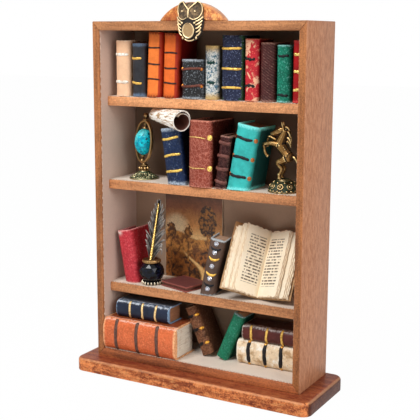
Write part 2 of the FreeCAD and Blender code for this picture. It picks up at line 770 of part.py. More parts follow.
board("back_lining", (-half_inner, shelf_back, case_bottom + end_board), (half_inner, shelf_back + lining, ceiling))
for wall in (-half_inner, half_clear):
    board("side_linings", (wall, case_front + lining_setback, case_bottom + end_board),
          (wall + lining, shelf_back, ceiling))

# Crest on the top board and the owl in front of both
crest_left = crest_shift - crest_width / 2
crest_right = crest_shift + crest_width / 2
arch = Part.Arc(Vector(crest_left, case_front, case_top), Vector(crest_shift, case_front, case_top + crest_height),
                Vector(crest_right, case_front, case_top))
chord = Part.LineSegment(Vector(crest_right, case_front, case_top), Vector(crest_left, case_front, case_top))
pieces["crest"] = [wire_face([arch, chord]).extrude(BACK * crest_thickness)]
owl = owl_badge()
owl.translate(Vector(crest_shift, case_front, case_top - owl_drop))
pieces["owl_badge"] = owl.Solids

# Picture card against the back wall
card_left = -half_clear + card_offset
board("picture_card", (card_left, shelf_back - card_thickness, lower_level),
      (card_left + card_width, shelf_back, lower_level + card_height))

# The rows of things go to their shelves
for row, front, level in ((upper_row, shelf_front, upper_level), (middle_row, shelf_front, middle_level),
                          (lower_row, shelf_front, lower_level), (floor_row, case_front, floor_level)):
    for thing in row:
        move(thing, Vector(-half_clear, front, level))
        for node, group in thing.items():
            if group:
                pieces.setdefault(node, []).extend(group)

os.makedirs("parts", exist_ok=True)
for node, group in pieces.items():
    solids = [solid for shape in group for solid in shape.Solids]
    shape = solids[0] if len(solids) == 1 else Part.makeCompound(solids)
    shape.exportStep(f"parts/{node}.step")

stone_centre = pieces["globe_stone"][0].Solids[0].CenterOfMass
spin_axis = FreeCAD.Rotation(UP, globe_turn).multVec(FreeCAD.Rotation(BACK, globe_tilt).multVec(UP))
print("nodes", len(pieces), "solids", sum(len(group) for group in pieces.values()))
print("case", round(case_width, 2), round(case_depth, 2), round(case_top - case_bottom, 2))
print("overall", round(plinth_width, 2), round(plinth_depth, 2), round(case_top - owl_drop + owl_height, 2))
print("levels", [round(level, 2) for level in (floor_level, lower_level, middle_level, upper_level, ceiling)])
print("plan", [round(place, 2) for place in (case_front, shelf_front, shelf_back, case_back, half_clear)])
print("stone centre", [round(value, 4) for value in stone_centre], "axis", [round(value, 5) for value in spin_axis])
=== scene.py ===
import contextlib
import json
import math
import types

import bpy
import numpy as np
from mathutils import Matrix, Vector


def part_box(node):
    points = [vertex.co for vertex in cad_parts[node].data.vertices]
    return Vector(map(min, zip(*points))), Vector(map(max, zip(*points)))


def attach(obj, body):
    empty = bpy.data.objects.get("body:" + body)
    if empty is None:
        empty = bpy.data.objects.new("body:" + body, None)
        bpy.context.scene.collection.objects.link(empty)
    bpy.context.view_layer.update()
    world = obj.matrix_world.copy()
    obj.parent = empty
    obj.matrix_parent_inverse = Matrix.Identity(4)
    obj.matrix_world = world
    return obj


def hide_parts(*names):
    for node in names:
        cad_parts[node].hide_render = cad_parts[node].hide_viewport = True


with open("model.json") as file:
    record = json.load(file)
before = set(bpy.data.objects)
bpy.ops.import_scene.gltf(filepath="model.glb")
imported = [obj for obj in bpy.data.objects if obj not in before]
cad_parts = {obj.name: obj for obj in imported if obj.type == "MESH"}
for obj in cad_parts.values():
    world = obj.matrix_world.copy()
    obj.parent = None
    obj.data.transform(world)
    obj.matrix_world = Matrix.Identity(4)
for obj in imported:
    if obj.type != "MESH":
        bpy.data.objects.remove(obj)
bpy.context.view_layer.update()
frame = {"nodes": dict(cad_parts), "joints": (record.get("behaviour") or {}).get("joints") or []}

# Plinth: one thick board with rounded corners that the case stands on.
# Stained red-brown and varnished; the rounded upper edge is painted pale, partly as rubbed varnish and partly
# as a painted highlight, and the top face carries painted shade.
MM = 0.001


def paint(red, green, blue):
    """A colour as a screen shows it, as the linear numbers that a shader takes."""
    shares = [value / 255 for value in (red, green, blue)]
    linear = [share / 12.92 if share < 0.04 else ((share + 0.055) / 1.055) ** 2.4 for share in shares]
    return (*linear, 1.0)


def dimmed(colour, share):
    """A colour with a share of its light left."""
    return tuple(share * part for part in paint(*colour)[:3]) + (1.0,)


def sum_of(operation, swapped=False):
    """A method that makes a Math node of a value and another."""
    def made(value, other=0.0):
        first, second = (other, value) if swapped else (value, other)
        return value.finish.node("ShaderNodeMath", {"operation": operation}, {0: first, 1: second})
    return made


class Value:
    """A number, place or colour that changes over a surface; what is done with it becomes nodes."""

    __add__ = sum_of("ADD")
    __radd__ = sum_of("ADD", True)
    __sub__ = sum_of("SUBTRACT")
    __rsub__ = sum_of("SUBTRACT", True)
    __mul__ = sum_of("MULTIPLY")
    __rmul__ = sum_of("MULTIPLY", True)
    __truediv__ = sum_of("DIVIDE")
    __abs__ = sum_of("ABSOLUTE")
    least = sum_of("MINIMUM")
    most = sum_of("MAXIMUM")
    sine = sum_of("SINE")
    root = sum_of("SQRT")
    floor = sum_of("FLOOR")
    rest = sum_of("FLOORED_MODULO")

    def __init__(self, finish, socket):
        self.finish = finish
        self.socket = socket

    def split(self):
        return [self.finish.node("ShaderNodeSeparateXYZ", {}, {0: self}, axis) for axis in range(3)]

    def stretch(self, across, behind, up):
        sizes = (across, behind, up)
        return self.finish.node("ShaderNodeVectorMath", {"operation": "MULTIPLY"}, {0: self, 1: sizes})

    def noise(self, scale, detail=3.0, roughness=0.55, distortion=0.0):
        sockets = {"Vector": self, "Scale": scale, "Detail": detail, "Roughness": roughness,
                   "Distortion": distortion}
        return self.finish.node("ShaderNodeTexNoise", {}, sockets)

    def cells(self, scale, feature="F1"):
        sockets = {"Vector": self, "Scale": scale}
        return self.finish.node("ShaderNodeTexVoronoi", {"feature": feature}, sockets)

    def above(self, low, high):
        """0 below low, 1 above high, smooth between."""
        return self.finish.node("ShaderNodeMapRange", {"interpolation_type": "SMOOTHSTEP"},
                                {"Value": self, "From Min": low, "From Max": high})

    def below(self, low, high):
        return 1.0 - self.above(low, high)

    def ramp(self, *stops):
        return self.finish.node("ShaderNodeValToRGB", {"stops": stops}, {0: self})

    def blend(self, first, second):
        """A colour between two, by this share."""
        return self.finish.node("ShaderNodeMix", {"data_type": "RGBA"}, {0: self, 6: first, 7: second}, 2)

    def mix(self, share, other, mode="MIX"):
        """This colour with a share of another laid over it."""
        return self.finish.node("ShaderNodeMix", {"data_type": "RGBA", "blend_type": mode},
                                {0: share, 6: self, 7: other}, 2)


class Finish:
    """A material with the nodes that give it colour, gloss and relief. Lengths are in millimetres."""

    def __init__(self, name, **fixed):
        self.material = bpy.data.materials.new(name)
        self.material.use_nodes = True
        self.tree = self.material.node_tree
        self.shader = self.tree.nodes["Principled BSDF"]
        for socket, value in fixed.items():
            self.shader.inputs[socket.replace("_", " ")].default_value = value

    def node(self, kind, settings, sockets, output=0):
        made = self.tree.nodes.new(kind)
        for name, value in settings.items():
            if name == "stops":
                ramp = made.color_ramp
                while len(ramp.elements) < len(value):
                    ramp.elements.new(1.0)
                for element, (place, colour) in zip(ramp.elements, value):
                    element.position = place
                    element.color = paint(*colour)
            else:
                setattr(made, name, value)
        for name, value in sockets.items():
            self.feed(made.inputs[name], value)
        return Value(self, made.outputs[output])

    def feed(self, socket, value):
        if isinstance(value, Value):
            self.tree.links.new(value.socket, socket)
        elif socket.type == "RGBA" and len(value) == 3:
            socket.default_value = paint(*value)
        else:
            socket.default_value = value

    def place(self):
        """Where a point of the surface is, in millimetres."""
        metres = self.node("ShaderNodeTexCoord", {}, {}, "Object")
        return self.node("ShaderNodeVectorMath", {"operation": "SCALE"}, {0: metres, "Scale": 1 / MM})

    def attribute(self, name, output="Vector"):
        return self.node("ShaderNodeAttribute", {"attribute_name": name}, {}, output)

    def done(self, colour, roughness, *bumps, **more):
        """Feeds the shader; each bump is a height and its depth in millimetres."""
        fed = {"Base Color": colour, "Roughness": roughness, **more}
        for height, depth in bumps:
            sockets = {"Height": height, "Distance": depth * MM, "Strength": 1.0}
            if "Normal" in fed:
                sockets["Normal"] = fed["Normal"]
            fed["Normal"] = self.node("ShaderNodeBump", {}, sockets)
        for name, value in fed.items():
            self.feed(self.shader.inputs[name], value)
        return self.material


def add(name, data):
    """A new object in the scene."""
    piece = bpy.data.objects.new(name, data)
    bpy.context.scene.collection.objects.link(piece)
    return piece


def take_up(piece):
    """Makes a piece the one that the operators act on."""
    bpy.ops.object.select_all(action="DESELECT")
    piece.select_set(True)
    bpy.context.view_layer.objects.active = piece


@contextlib.contextmanager
def editing(piece):
    """Edit mode on a piece, with all of it selected."""
    take_up(piece)
    bpy.ops.object.mode_set(mode="EDIT")
    bpy.ops.mesh.select_all(action="SELECT")
    yield
    bpy.ops.object.mode_set(mode="OBJECT")


def smooth(piece, degrees):
    """Shades a piece smooth, apart from its sharper edges."""
    take_up(piece)
    bpy.ops.object.shade_smooth_by_angle(angle=math.radians(degrees))


def working_copy(node):
    """A welded copy of a CAD node, to be shaped further."""
    piece = add(node + "_piece", frame["nodes"][node].data.copy())
    take_up(piece)
    bpy.ops.mesh.customdata_custom_splitnormals_clear()
    with editing(piece):
        bpy.ops.mesh.remove_doubles(threshold=0.004 * MM)
        bpy.ops.mesh.dissolve_limited(angle_limit=math.radians(0.4))
    return piece


def ease_edges(piece, radius, sharp=35):
    """Rounds the sharp edges of a piece."""
    with editing(piece):
        bpy.ops.mesh.select_mode(type="EDGE")
        bpy.ops.mesh.select_all(action="DESELECT")
        bpy.ops.mesh.edges_select_sharp(sharpness=math.radians(sharp))
        bpy.ops.mesh.bevel(offset=radius * MM, segments=2, affect="EDGES", clamp_overlap=True)
    smooth(piece, 40)


def dress(piece, material, node):
    """Gives a finished piece its material, fixes it to the case's body, and hides the CAD node it stands for.
    """
    piece.data.materials.clear()
    piece.data.materials.append(material)
    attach(piece, "case")
    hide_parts(node)


def box_of(node):
    """The low and the high corner of a CAD node's box, in millimetres."""
    return [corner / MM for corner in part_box(node)]


def board(node, eased, material, sharp=35):
    """A wooden board from its CAD node, its edges eased."""
    piece = working_copy(node)
    ease_edges(piece, eased, sharp)
    dress(piece, material, node)


def wood(name, light, dark, run, gloss, figure=1.0, rubbed=None, shine=0.3):
    """Planed wood whose grain runs along one axis: fibres, broad figure, fine pores and specks."""
    finish = Finish(name, Specular_IOR_Level=shine)
    place = finish.place()
    laid = place.stretch(*[0.05 if axis == run else 1.0 for axis in "xyz"])
    bent = laid.noise(0.35, 2.0)
    fibres = laid.noise(3.0, 4.0, 0.65, 0.6)
    pores = place.stretch(*[0.2 if axis == run else 2.0 for axis in "xyz"]).noise(1.5, 2.0).above(0.60, 0.72)
    blotch = place.noise(0.06, 3.0)
    specks = place.noise(1.15, 4.0, 0.8)
    tone = bent * (0.9 * figure) + fibres * 0.5 + blotch * 0.5 + specks * 1.3 - 0.5 * (2.3 + 0.9 * figure)
    colour = tone.above(-0.30, 0.32).blend(dark, light).mix(pores * 0.5, dimmed(dark, 0.4))
    if rubbed is not None:
        colour = rubbed(place, colour)
    return finish.done(colour, gloss + 0.14 * fibres, (fibres, 0.05), (pores, -0.06))


plinth_high = box_of("plinth")[1]


def plinth_wear_and_light(place, colour):
    """Pale upper edge, partly rubbed varnish and partly a painted highlight; blots on the faces, dark ends,
    and painted shade on the top face.
    """
    across, behind, up = place.split()
    blots = place.stretch(0.5, 1.0, 1.0).noise(0.4, 5.0, 0.75)
    colour = colour.mix(blots.below(0.38, 0.48) * 0.5, (236, 164, 104))
    colour = colour.mix(blots.above(0.52, 0.62) * 0.75, (96, 36, 28))
    colour = colour.mix(abs(across).above(plinth_high.x - 1.4, plinth_high.x - 0.5) * 0.9, (64, 28, 22))
    # Painted shade: the top face is darkened, so that it looks less lit.
    colour = colour.mix(up.above(plinth_high.z - 0.4, plinth_high.z - 0.1) * 0.7, (116, 48, 32))
    # The pale edge below is partly rubbed varnish and partly a painted highlight along the rounded edge.
    reach = (abs(across) - (plinth_high.x - 1.6)).most(abs(behind) - (plinth_high.y - 1.6))
    height = up - (plinth_high.z - 1.3)
    ragged = place.noise(0.5, 4.0) * 1.6 - 0.8
    edge = (reach.least(height * 1.6) + ragged * 0.55).above(0.0, 0.9)
    return colour.mix(edge * 0.45, (222, 160, 118))


varnish = wood("plinth_varnish", (240, 146, 86), (130, 62, 36), "x", 0.3, 1.3, plinth_wear_and_light, 0.1)
board("plinth", 0.5, varnish, 50)

# Case: four boards with mitred corners, glued, and a thin back board let in behind.
# Honey-brown wood with fine grain along each board, satin varnish, edges a little eased.
CASE_HALF = box_of("right_side")[1].x


def planed(place, colour):
    """The broad outer faces, planed paler than the varnished front edges."""
    mottle = place.stretch(1.0, 1.0, 0.3).noise(0.8, 5.0, 0.8)
    outer = abs(place.split()[0]).above(CASE_HALF - 0.6, CASE_HALF - 0.15)
    return colour.mix(outer * 0.82, mottle.above(0.34, 0.66).blend((160, 102, 70), (204, 146, 110)))


for node, run, light, dark in (("left_side", "z", (188, 122, 74), (122, 74, 42)),
                               ("right_side", "z", (188, 120, 70), (120, 72, 40)),
                               ("top_board", "x", (206, 142, 94), (140, 90, 56)),
                               ("bottom_board", "x", (188, 108, 62), (108, 56, 32))):
    board(node, 0.35, wood(node + "_wood", light, dark, run, 0.45, 1.0, planed))
board("back_board", 0.15, wood("back_board_wood", (160, 116, 80), (112, 76, 50), "z", 0.7, 1.4))

# Shelves: three boards set back from the case's front edge, of paler orange-brown wood.
# Their colours carry painted light: the uppermost is painted palest, as it stands nearest the lamp, and the
# lower two darker.
for node, light, dark in (("lower_shelf", (206, 142, 94), (142, 92, 58)),
                          ("middle_shelf", (216, 148, 98), (152, 98, 62)),
                          ("upper_shelf", (248, 178, 122), (186, 124, 82))):
    board(node, 0.4, wood(node + "_wood", light, dark, "x", 0.5, 0.8))

# Crest: an arched board on the top, its face mottled orange-brown under thick varnish.
# A paler band follows the arch, where the edge was sanded.
crest_low, crest_high = box_of("crest")


def crest_rub(place, colour):
    """Thick mottled varnish, with a paler sanded band along the arch."""
    across, up = place.split()[::2]
    pools = place.stretch(1.0, 1.0, 0.6).noise(0.55, 5.0, 0.78)
    colour = colour.mix(pools.above(0.5, 0.6) * 0.85, (246, 178, 98))
    colour = colour.mix(pools.below(0.38, 0.47) * 0.7, (140, 50, 22))
    rise = crest_high.z - crest_low.z
    half = (crest_high.x - crest_low.x) / 2
    radius = (half * half + rise * rise) / (2 * rise)
    aside = across - (crest_high.x + crest_low.x) / 2
    drop = up - (crest_high.z - radius)
    away = (aside * aside + drop * drop).root()
    ragged = place.noise(0.7, 3.0) - 0.5
    return colour.mix((away + ragged * 1.2).above(radius - 1.2, radius - 0.3) * 0.4, (220, 156, 106))


board("crest", 0.5, wood("crest_varnish", (222, 134, 68), (156, 80, 36), "x", 0.25, 1.8, crest_rub))

# Linings: sheets of grey-beige felt paper glued on the inner faces of the case and on the shelves.
# Their front edges are torn, so fibres stand out unevenly.
def vertices(piece):
    """The points of a piece's mesh, in millimetres."""
    points = np.empty(3 * len(piece.data.vertices))
    piece.data.vertices.foreach_get("co", points)
    return points.reshape(-1, 3) / MM


def move_vertices(piece, points):
    piece.data.vertices.foreach_set("co", (np.asarray(points) * MM).ravel())
    piece.data.update()


def note(piece, name, kind, values):
    """Keeps a number, vector or colour with every point of a piece, for its material."""
    field = {"FLOAT": "value", "FLOAT_VECTOR": "vector", "FLOAT_COLOR": "color"}[kind]
    kept = piece.data.attributes.new(name, kind, "POINT")
    kept.data.foreach_set(field, np.ascontiguousarray(values, dtype=np.float32).ravel())


def cut_across(piece, normal, places):
    """Cuts a piece along parallel planes, so that it can be shaped between them."""
    with editing(piece):
        for place in places:
            bpy.ops.mesh.select_all(action="SELECT")
            bpy.ops.mesh.bisect(plane_co=Vector(normal) * float(place) * MM, plane_no=normal)


# The back sheet carries painted shade between these two levels.
PAINTED_SHADE_FROM = box_of("middle_shelf")[1].z
PAINTED_SHADE_TO = box_of("upper_shelf")[1].z
UNTORN = 9.0
# Painted light: the sheets are one felt paper, tinted apart, the floor and shelf sheets paler as if lit from
# above and the back sheet darker as painted shade.
for node, tint, fluffy in (("side_linings", (224, 196, 180), 0.2), ("back_lining", (192, 162, 138), 0.6),
                           ("board_linings", (248, 232, 216), 0.6)):
    sheet = working_copy(node)
    low, high = box_of(node)
    if node == "board_linings":
        cut_across(sheet, (1, 0, 0), np.arange(low.x + 0.5, high.x, 0.5))
    elif node == "side_linings":
        cut_across(sheet, (0, 0, 1), np.arange(low.z + 0.7, high.z, 0.7))
    points = vertices(sheet)
    edge = np.array([point[1] - points[np.abs(points[:, 2] - point[2]) < 0.6, 1].min() for point in points])
    run = points[:, 0] * 2.0 + points[:, 2] * 1.7
    frayed = 0.4 + 0.2 * np.sin(run * 1.9) + 0.16 * np.sin(run * 4.3 + 1.0) + 0.14 * np.sin(run * 9.7)
    if node == "back_lining":
        edge[:] = UNTORN
    points[:, 1] += np.where(edge < 0.05, frayed, 0.0)
    move_vertices(sheet, points)
    note(sheet, "edge", "FLOAT", edge)
    finish = Finish(node + "_felt", Specular_IOR_Level=0.1)
    place = finish.place()
    fibres = place.noise(2.6, 5.0, 0.7)
    cloud = place.noise(0.08, 3.0)
    specks = place.noise(3.2, 2.0).above(0.62, 0.74)
    tone = (fibres * 0.7 + cloud * 0.5 - 0.15).blend(dimmed(tint, 0.66), tint)
    tone = tone.mix(specks * 0.4, (110, 90, 74))
    if node == "back_lining":
        # Painted shade: the back sheet is darkened between the middle shelf's top and the upper shelf's top,
        # where the shelf above casts its shadow.
        up = place.split()[2]
        dull = up.above(PAINTED_SHADE_FROM - 2.0, PAINTED_SHADE_FROM + 1.0) * up.below(PAINTED_SHADE_TO - 2.0, PAINTED_SHADE_TO + 1.0)
        tone = tone.mix(dull * 0.62, (46, 32, 24))
    torn = (finish.attribute("edge", "Fac") + fibres * 1.6).below(1.0, 1.9) * fluffy
    tone = tone.mix(torn, fibres.above(0.4, 0.6).blend((150, 118, 90), (244, 232, 216)))
    dress(sheet, finish.done(tone, 0.92, (fibres, 0.12)), node)

# Closed books: hand-bound miniatures, each a leather case of two boards and a rounded spine.
# The leather is turned in at head and tail, so it swells there and is the first to be rubbed bare.
stood = {}


def apply(piece, kind, **settings):
    """Puts a modifier on a piece and makes it final."""
    take_up(piece)
    modifier = piece.modifiers.new(kind, kind)
    for name, value in settings.items():
        setattr(modifier, name, value)
    bpy.ops.object.modifier_apply(modifier=modifier.name)


unevenness = bpy.data.textures.new("unevenness", "CLOUDS")
unevenness.noise_scale = 2.6 * MM
unevenness.noise_depth = 2


def crumple(piece, depth):
    """Makes a surface uneven, as a hand leaves it."""
    apply(piece, "DISPLACE", texture=unevenness, texture_coords="LOCAL", strength=depth * MM)


def swell(distance, middle, width):
    """A smooth bump of height 1 round a distance."""
    return np.exp(-((distance - middle) / width) ** 2)


ROUND = 2.4


def arch(across, half, deep):
    """How far a rounded spine has fallen back at a distance from its middle."""
    share = np.clip(np.abs(across) / half, 0.0, 1.0)
    return deep * (1.0 - (1.0 - share ** ROUND) ** (1.0 / ROUND))


def round_spine(across, depth, half, bulge, deep, length):
    """How deep a book's points lie once its flat spine is rounded as far back as deep."""
    flat = bulge * np.clip(np.abs(across) / half, 0.0, 1.0) ** 2
    full = arch(across, half, deep)
    return full + (depth - flat) * (length - full) / (length - flat)


def bind(node, hide, lean=0.0, turn=0.0, bulge=1.2, lip=0.3, deep=0.75):
    """Shapes a book's cover from its CAD node: rounded spine, swollen ends, creased joints, uneven boards."""
    cover = working_copy(node)
    stance = Matrix.Rotation(math.radians(turn), 4, "Z") @ Matrix.Rotation(math.radians(lean), 4, "Y")
    cover.data.transform(stance.inverted())
    points = vertices(cover)
    low = points.min(axis=0)
    high = points.max(axis=0)
    half = (high[0] - low[0]) / 2
    deep = max(bulge, min(deep * half, 3.6))
    stood[node] = types.SimpleNamespace(stance=stance, turn=np.array(stance.to_3x3()), low=low, high=high,
                                        half=half, middle=low[0] + half, bulge=bulge, deep=deep)
    ease_edges(cover, 0.2, 50)
    cut_across(cover, (0, 0, 1), np.arange(low[2] + 0.6, high[2] - 0.3, 1.3))
    joint = [low[1] + bulge + step for step in (0.05, 0.4, 0.8, 1.3, 1.9)]
    cut_across(cover, (0, 1, 0), joint + list(np.arange(joint[-1] + 2.0, high[1] - 1.0, 2.6)))
    for share in (0.35, 0.6, 0.76, 0.87, 0.94, 0.985):
        cut_across(cover, (1, 0, 0), [low[0] + half - half * share, low[0] + half + half * share])
    crumple(cover, 0.22)
    points = vertices(cover)
    across = points[:, 0] - low[0] - half
    depth = points[:, 1] - low[1]
    head = high[2] - points[:, 2]
    if abs(lean) < 60:
        level = vertices(frame["nodes"][node])[:, 2].min()
        tail = ((points @ stood[node].turn.T)[:, 2] - level) / math.cos(math.radians(lean))
    else:
        tail = points[:, 2] - low[2]
    end = np.minimum(head, tail)
    spine = np.clip((bulge + 0.45 - depth) / 0.4, 0.0, 1.0)
    points[:, 1] -= spine * lip * swell(end, 0.6, 0.55)
    outer = np.clip((np.abs(across) - half + 0.4) / 0.3, 0.0, 1.0)
    points[:, 0] -= outer * np.sign(across) * 0.12 * swell(depth, bulge + 2.2, 0.6)
    points[:, 1] = low[1] + round_spine(across, points[:, 1] - low[1], half, bulge, deep, high[1] - low[1])
    move_vertices(cover, points)
    shoulder = np.hypot(half - np.abs(across), depth - bulge)
    fore = high[1] - points[:, 1]
    note(cover, "bound", "FLOAT_VECTOR", np.column_stack((across, depth, -head)))
    note(cover, "wear", "FLOAT_VECTOR", np.column_stack((end, shoulder, fore)))
    cover.data.transform(stance)
    smooth(cover, 50)
    dress(cover, hide, node)


def grain_of(at, kind):
    """The height of a leather's grain."""
    if kind == "pebble":
        return 1.0 - at.cells(1.15)
    if kind == "wrinkle":
        seams = at.cells(0.45, "DISTANCE_TO_EDGE") * 11.0
        return 1.0 - (abs(at.noise(0.35, 3.0, 0.55, 1.0) - 0.5) * 20.0).least(seams).least(1.0)
    if kind == "twill":
        across, up = at.split()[::2]
        weave = ((up * 4.6 + across * 3.0 + at.noise(0.8, 2.0) * 4.0).sine() + 1.0) * 0.5
        return weave * 0.5 + at.noise(1.6, 3.0) * 0.5
    return at.noise(1.3, 4.0, 0.75)


def leather(name, dye, worn, side, kind="fine", depth=0.1, gloss=0.5, lip=1.5, rub=0.0, fleck=0.25, bulge=1.2,
            shade=0.5, painted_highlight=0.0, paintwork=None, vein=0.0):
    """Dyed leather on a book: cloudy dye, grain, a board colour partly standing for painted shade, bare ends
    and shoulders, and a painted highlight on the upper shoulder.
    """
    finish = Finish(name, Specular_IOR_Level=0.2)
    at = finish.attribute("bound")
    end, shoulder, fore = finish.attribute("wear").split()
    across, behind = at.split()[:2]
    cloud = at.noise(0.18, 3.0)
    grain = grain_of(at, kind)
    colour = (cloud + grain * 0.5).above(0.45, 0.95).blend(dimmed(dye, shade), dye)
    if vein:
        colour = colour.mix(grain.above(0.4, 0.95) * vein, worn)
    if paintwork is not None:
        colour = paintwork(at, end, colour)
    # The boards take their own colour, for most books darker than the spine; it partly stands for painted
    # shade between the books.
    colour = colour.mix(behind.above(bulge + 0.2, bulge + 1.8) * 0.9, side)
    scuffs = at.noise(0.9, 4.0, 0.7)
    colour = colour.mix((grain * 0.6 + scuffs * 0.7).above(0.74, 0.98) * fleck, worn)
    bare_end = (end + scuffs * 2.4 - 1.2).below(lip * 0.2, lip)
    bare_shoulder = (shoulder + scuffs * 2.4 - 1.2).below(0.1, 0.7) * rub
    bare_fore = (fore + scuffs - 0.5).below(0.1, 0.5) * rub
    bare = bare_end.most(bare_shoulder).most(bare_fore)
    colour = colour.mix(bare * (0.55 + 0.45 * grain.above(0.35, 0.6)), worn)
    # Painted highlight: a pale, broken streak along the upper shoulder of the books that lie flat.
    if painted_highlight:
        ridge = (abs(shoulder - 0.7) + scuffs * 3.2 - 1.6).below(0.0, 0.6)
        pale = tuple((part + 1.0) / 2 for part in paint(*worn)[:3]) + (1.0,)
        colour = colour.mix(ridge * across.above(-1.0, -2.0) * painted_highlight, pale)
    return finish.done(colour, gloss + bare * 0.25 - grain * 0.08, (grain, depth), (scuffs, 0.05))


def beige_wash(at, end, colour):
    """Thin brown clouds over the beige."""
    return colour.mix(at.noise(0.3, 4.0).above(0.5, 0.8) * 0.35, (224, 176, 138))


def marbling(at, end, colour):
    """White paper combed with blue-grey, stroked dark green, yellowed at both ends."""
    veins = at.noise(0.55, 5.0, 0.7, 1.6)
    colour = colour.mix(veins.above(0.46, 0.60), (92, 122, 146))
    strokes = abs(at.noise(0.36, 2.0, 0.5, 2.2) - 0.5)
    colour = colour.mix(strokes.below(0.015, 0.05) * veins.above(0.40, 0.50), (16, 72, 76))
    return colour.mix((end + veins * 3.0).below(2.4, 5.5) * 0.85, (198, 160, 92))


def mottling(at, end, colour):
    """Red skin with cream patches, pale scales in the red and dark red spots on the cream."""
    patches = at.noise(0.24, 2.0, 0.5, 0.5).above(0.51, 0.57)
    scales = at.cells(0.95)
    red = colour.mix(scales.below(0.16, 0.34) * 0.75, (238, 112, 92))
    return red.mix(patches, scales.below(0.20, 0.36).blend((238, 182, 146), (176, 40, 52)))


def green_edging(at, end, colour):
    """A green strip along the right shoulder and at the lower corners."""
    across = at.split()[0]
    edge = (across + at.noise(0.8, 2.0) * 1.2).above(5.5, 6.0)
    corner = end.below(0.6, 2.2) * abs(across).above(3.6, 5.0)
    return colour.mix(edge.most(corner) * 0.9, (30, 66, 34))


def bare_corner(at, end, colour):
    """Leather rubbed off at the upper left corner, and mottled all over."""
    across, up = at.split()[::2]
    blots = at.noise(0.7, 5.0, 0.75)
    colour = colour.mix(blots.above(0.52, 0.64) * 0.5, (226, 92, 96))
    corner = (blots * 3.0 - up).below(2.4, 5.0) * (across + blots * 2.0).below(-0.6, 1.6)
    return colour.mix(corner * 0.9, (226, 206, 196))


def stained(at, end, colour):
    """Old vellum: brown stains, polished pale patches and fine black dirt."""
    blots = at.noise(0.2, 4.0, 0.6)
    colour = colour.mix(blots.above(0.5, 0.66) * 0.75, (168, 122, 70))
    colour = colour.mix(blots.below(0.38, 0.48) * 0.85, (255, 250, 238))
    return colour.mix(at.noise(0.9, 4.0, 0.8).above(0.58, 0.68) * 0.6, (96, 68, 42))


def worn_patches(at, end, colour):
    """Pale chafed spots in the middle of the panels."""
    chafe = at.noise(1.0, 5.0, 0.8) - abs(at.split()[0]) * 0.03
    patches = at.noise(0.2, 2.0).above(0.46, 0.6)
    return colour.mix(chafe.above(0.54, 0.62) * patches, (170, 186, 204))


def orange_ends(at, end, colour):
    """Tooled ends, a broader brown darkening towards the ends and a dark red edge along the right shoulder;
    the last two are partly painted shade.
    """
    across = at.split()[0]
    teeth = ((across * 4.0).sine() + 1.0) * 0.35
    colour = colour.mix((end + teeth).below(0.9, 1.6) * 0.85, (70, 22, 12))
    # Partly painted shade: the spine darkens broadly towards brown near both ends.
    colour = colour.mix((end + at.noise(0.9, 4.0, 0.7) * 3.0).below(2.2, 5.0) * 0.5, (150, 62, 18))
    # Partly painted shade: a dark red edge along the right shoulder, where the rounded spine turns from the
    # light.
    return colour.mix(across.above(2.7, 3.3) * 0.85, (150, 14, 16))


# Books of the upper shelf, from left to right.
bind("beige_book", leather(
    "beige_calf", (240, 194, 156), (246, 228, 202), (150, 104, 70), depth=0.04, lip=0.8, fleck=0.1,
    shade=0.85, paintwork=beige_wash))
bind("charcoal_book", leather(
    "charcoal_goat", (50, 50, 54), (104, 126, 152), (20, 20, 24), lip=2.4, fleck=0.3))
bind("orange_left_book", leather(
    "orange_calf_left", (246, 130, 58), (250, 160, 100), (96, 6, 8), depth=0.05, lip=0.1, fleck=0.12,
    shade=0.75, paintwork=orange_ends), lean=2.4)
bind("orange_right_book", leather(
    "orange_calf_right", (236, 112, 46), (250, 150, 90), (96, 6, 8), depth=0.05, lip=0.1, fleck=0.12,
    shade=0.75, paintwork=orange_ends), lean=2.0)
bind("black_corded_book", leather(
    "black_shagreen", (40, 40, 42), (160, 168, 176), (18, 18, 20), "pebble", 0.2, lip=1.6, rub=0.5,
    fleck=0.9, bulge=2.0), bulge=2.0, lip=0.5, deep=0.6)
bind("marbled_book", leather(
    "marbled_wrap", (222, 220, 212), (214, 184, 120), (84, 72, 50), lip=0.8, fleck=0.1, shade=0.8,
    paintwork=marbling))
bind("navy_gilt_book", leather(
    "navy_pebbled_goat", (34, 40, 66), (120, 132, 162), (14, 20, 18), "pebble", 0.2, lip=0.3, fleck=0.95,
    paintwork=green_edging), deep=0.5)
bind("mottled_red_book", leather(
    "mottled_red_skin", (198, 44, 54), (232, 150, 120), (110, 12, 18), lip=0.6, fleck=0.15, shade=0.7,
    paintwork=mottling))
bind("maroon_book", leather(
    "maroon_twill", (74, 34, 32), (168, 126, 112), (40, 18, 18), "twill", 0.16, lip=1.3, fleck=0.6))
bind("green_book", leather(
    "green_goat", (22, 126, 100), (150, 222, 216), (6, 48, 40), "pebble", 0.14, lip=1.2, fleck=0.55))
bind("red_gilt_book", leather("red_calf", (170, 16, 22), (216, 76, 72), (90, 8, 12), lip=1.8, fleck=0.5))

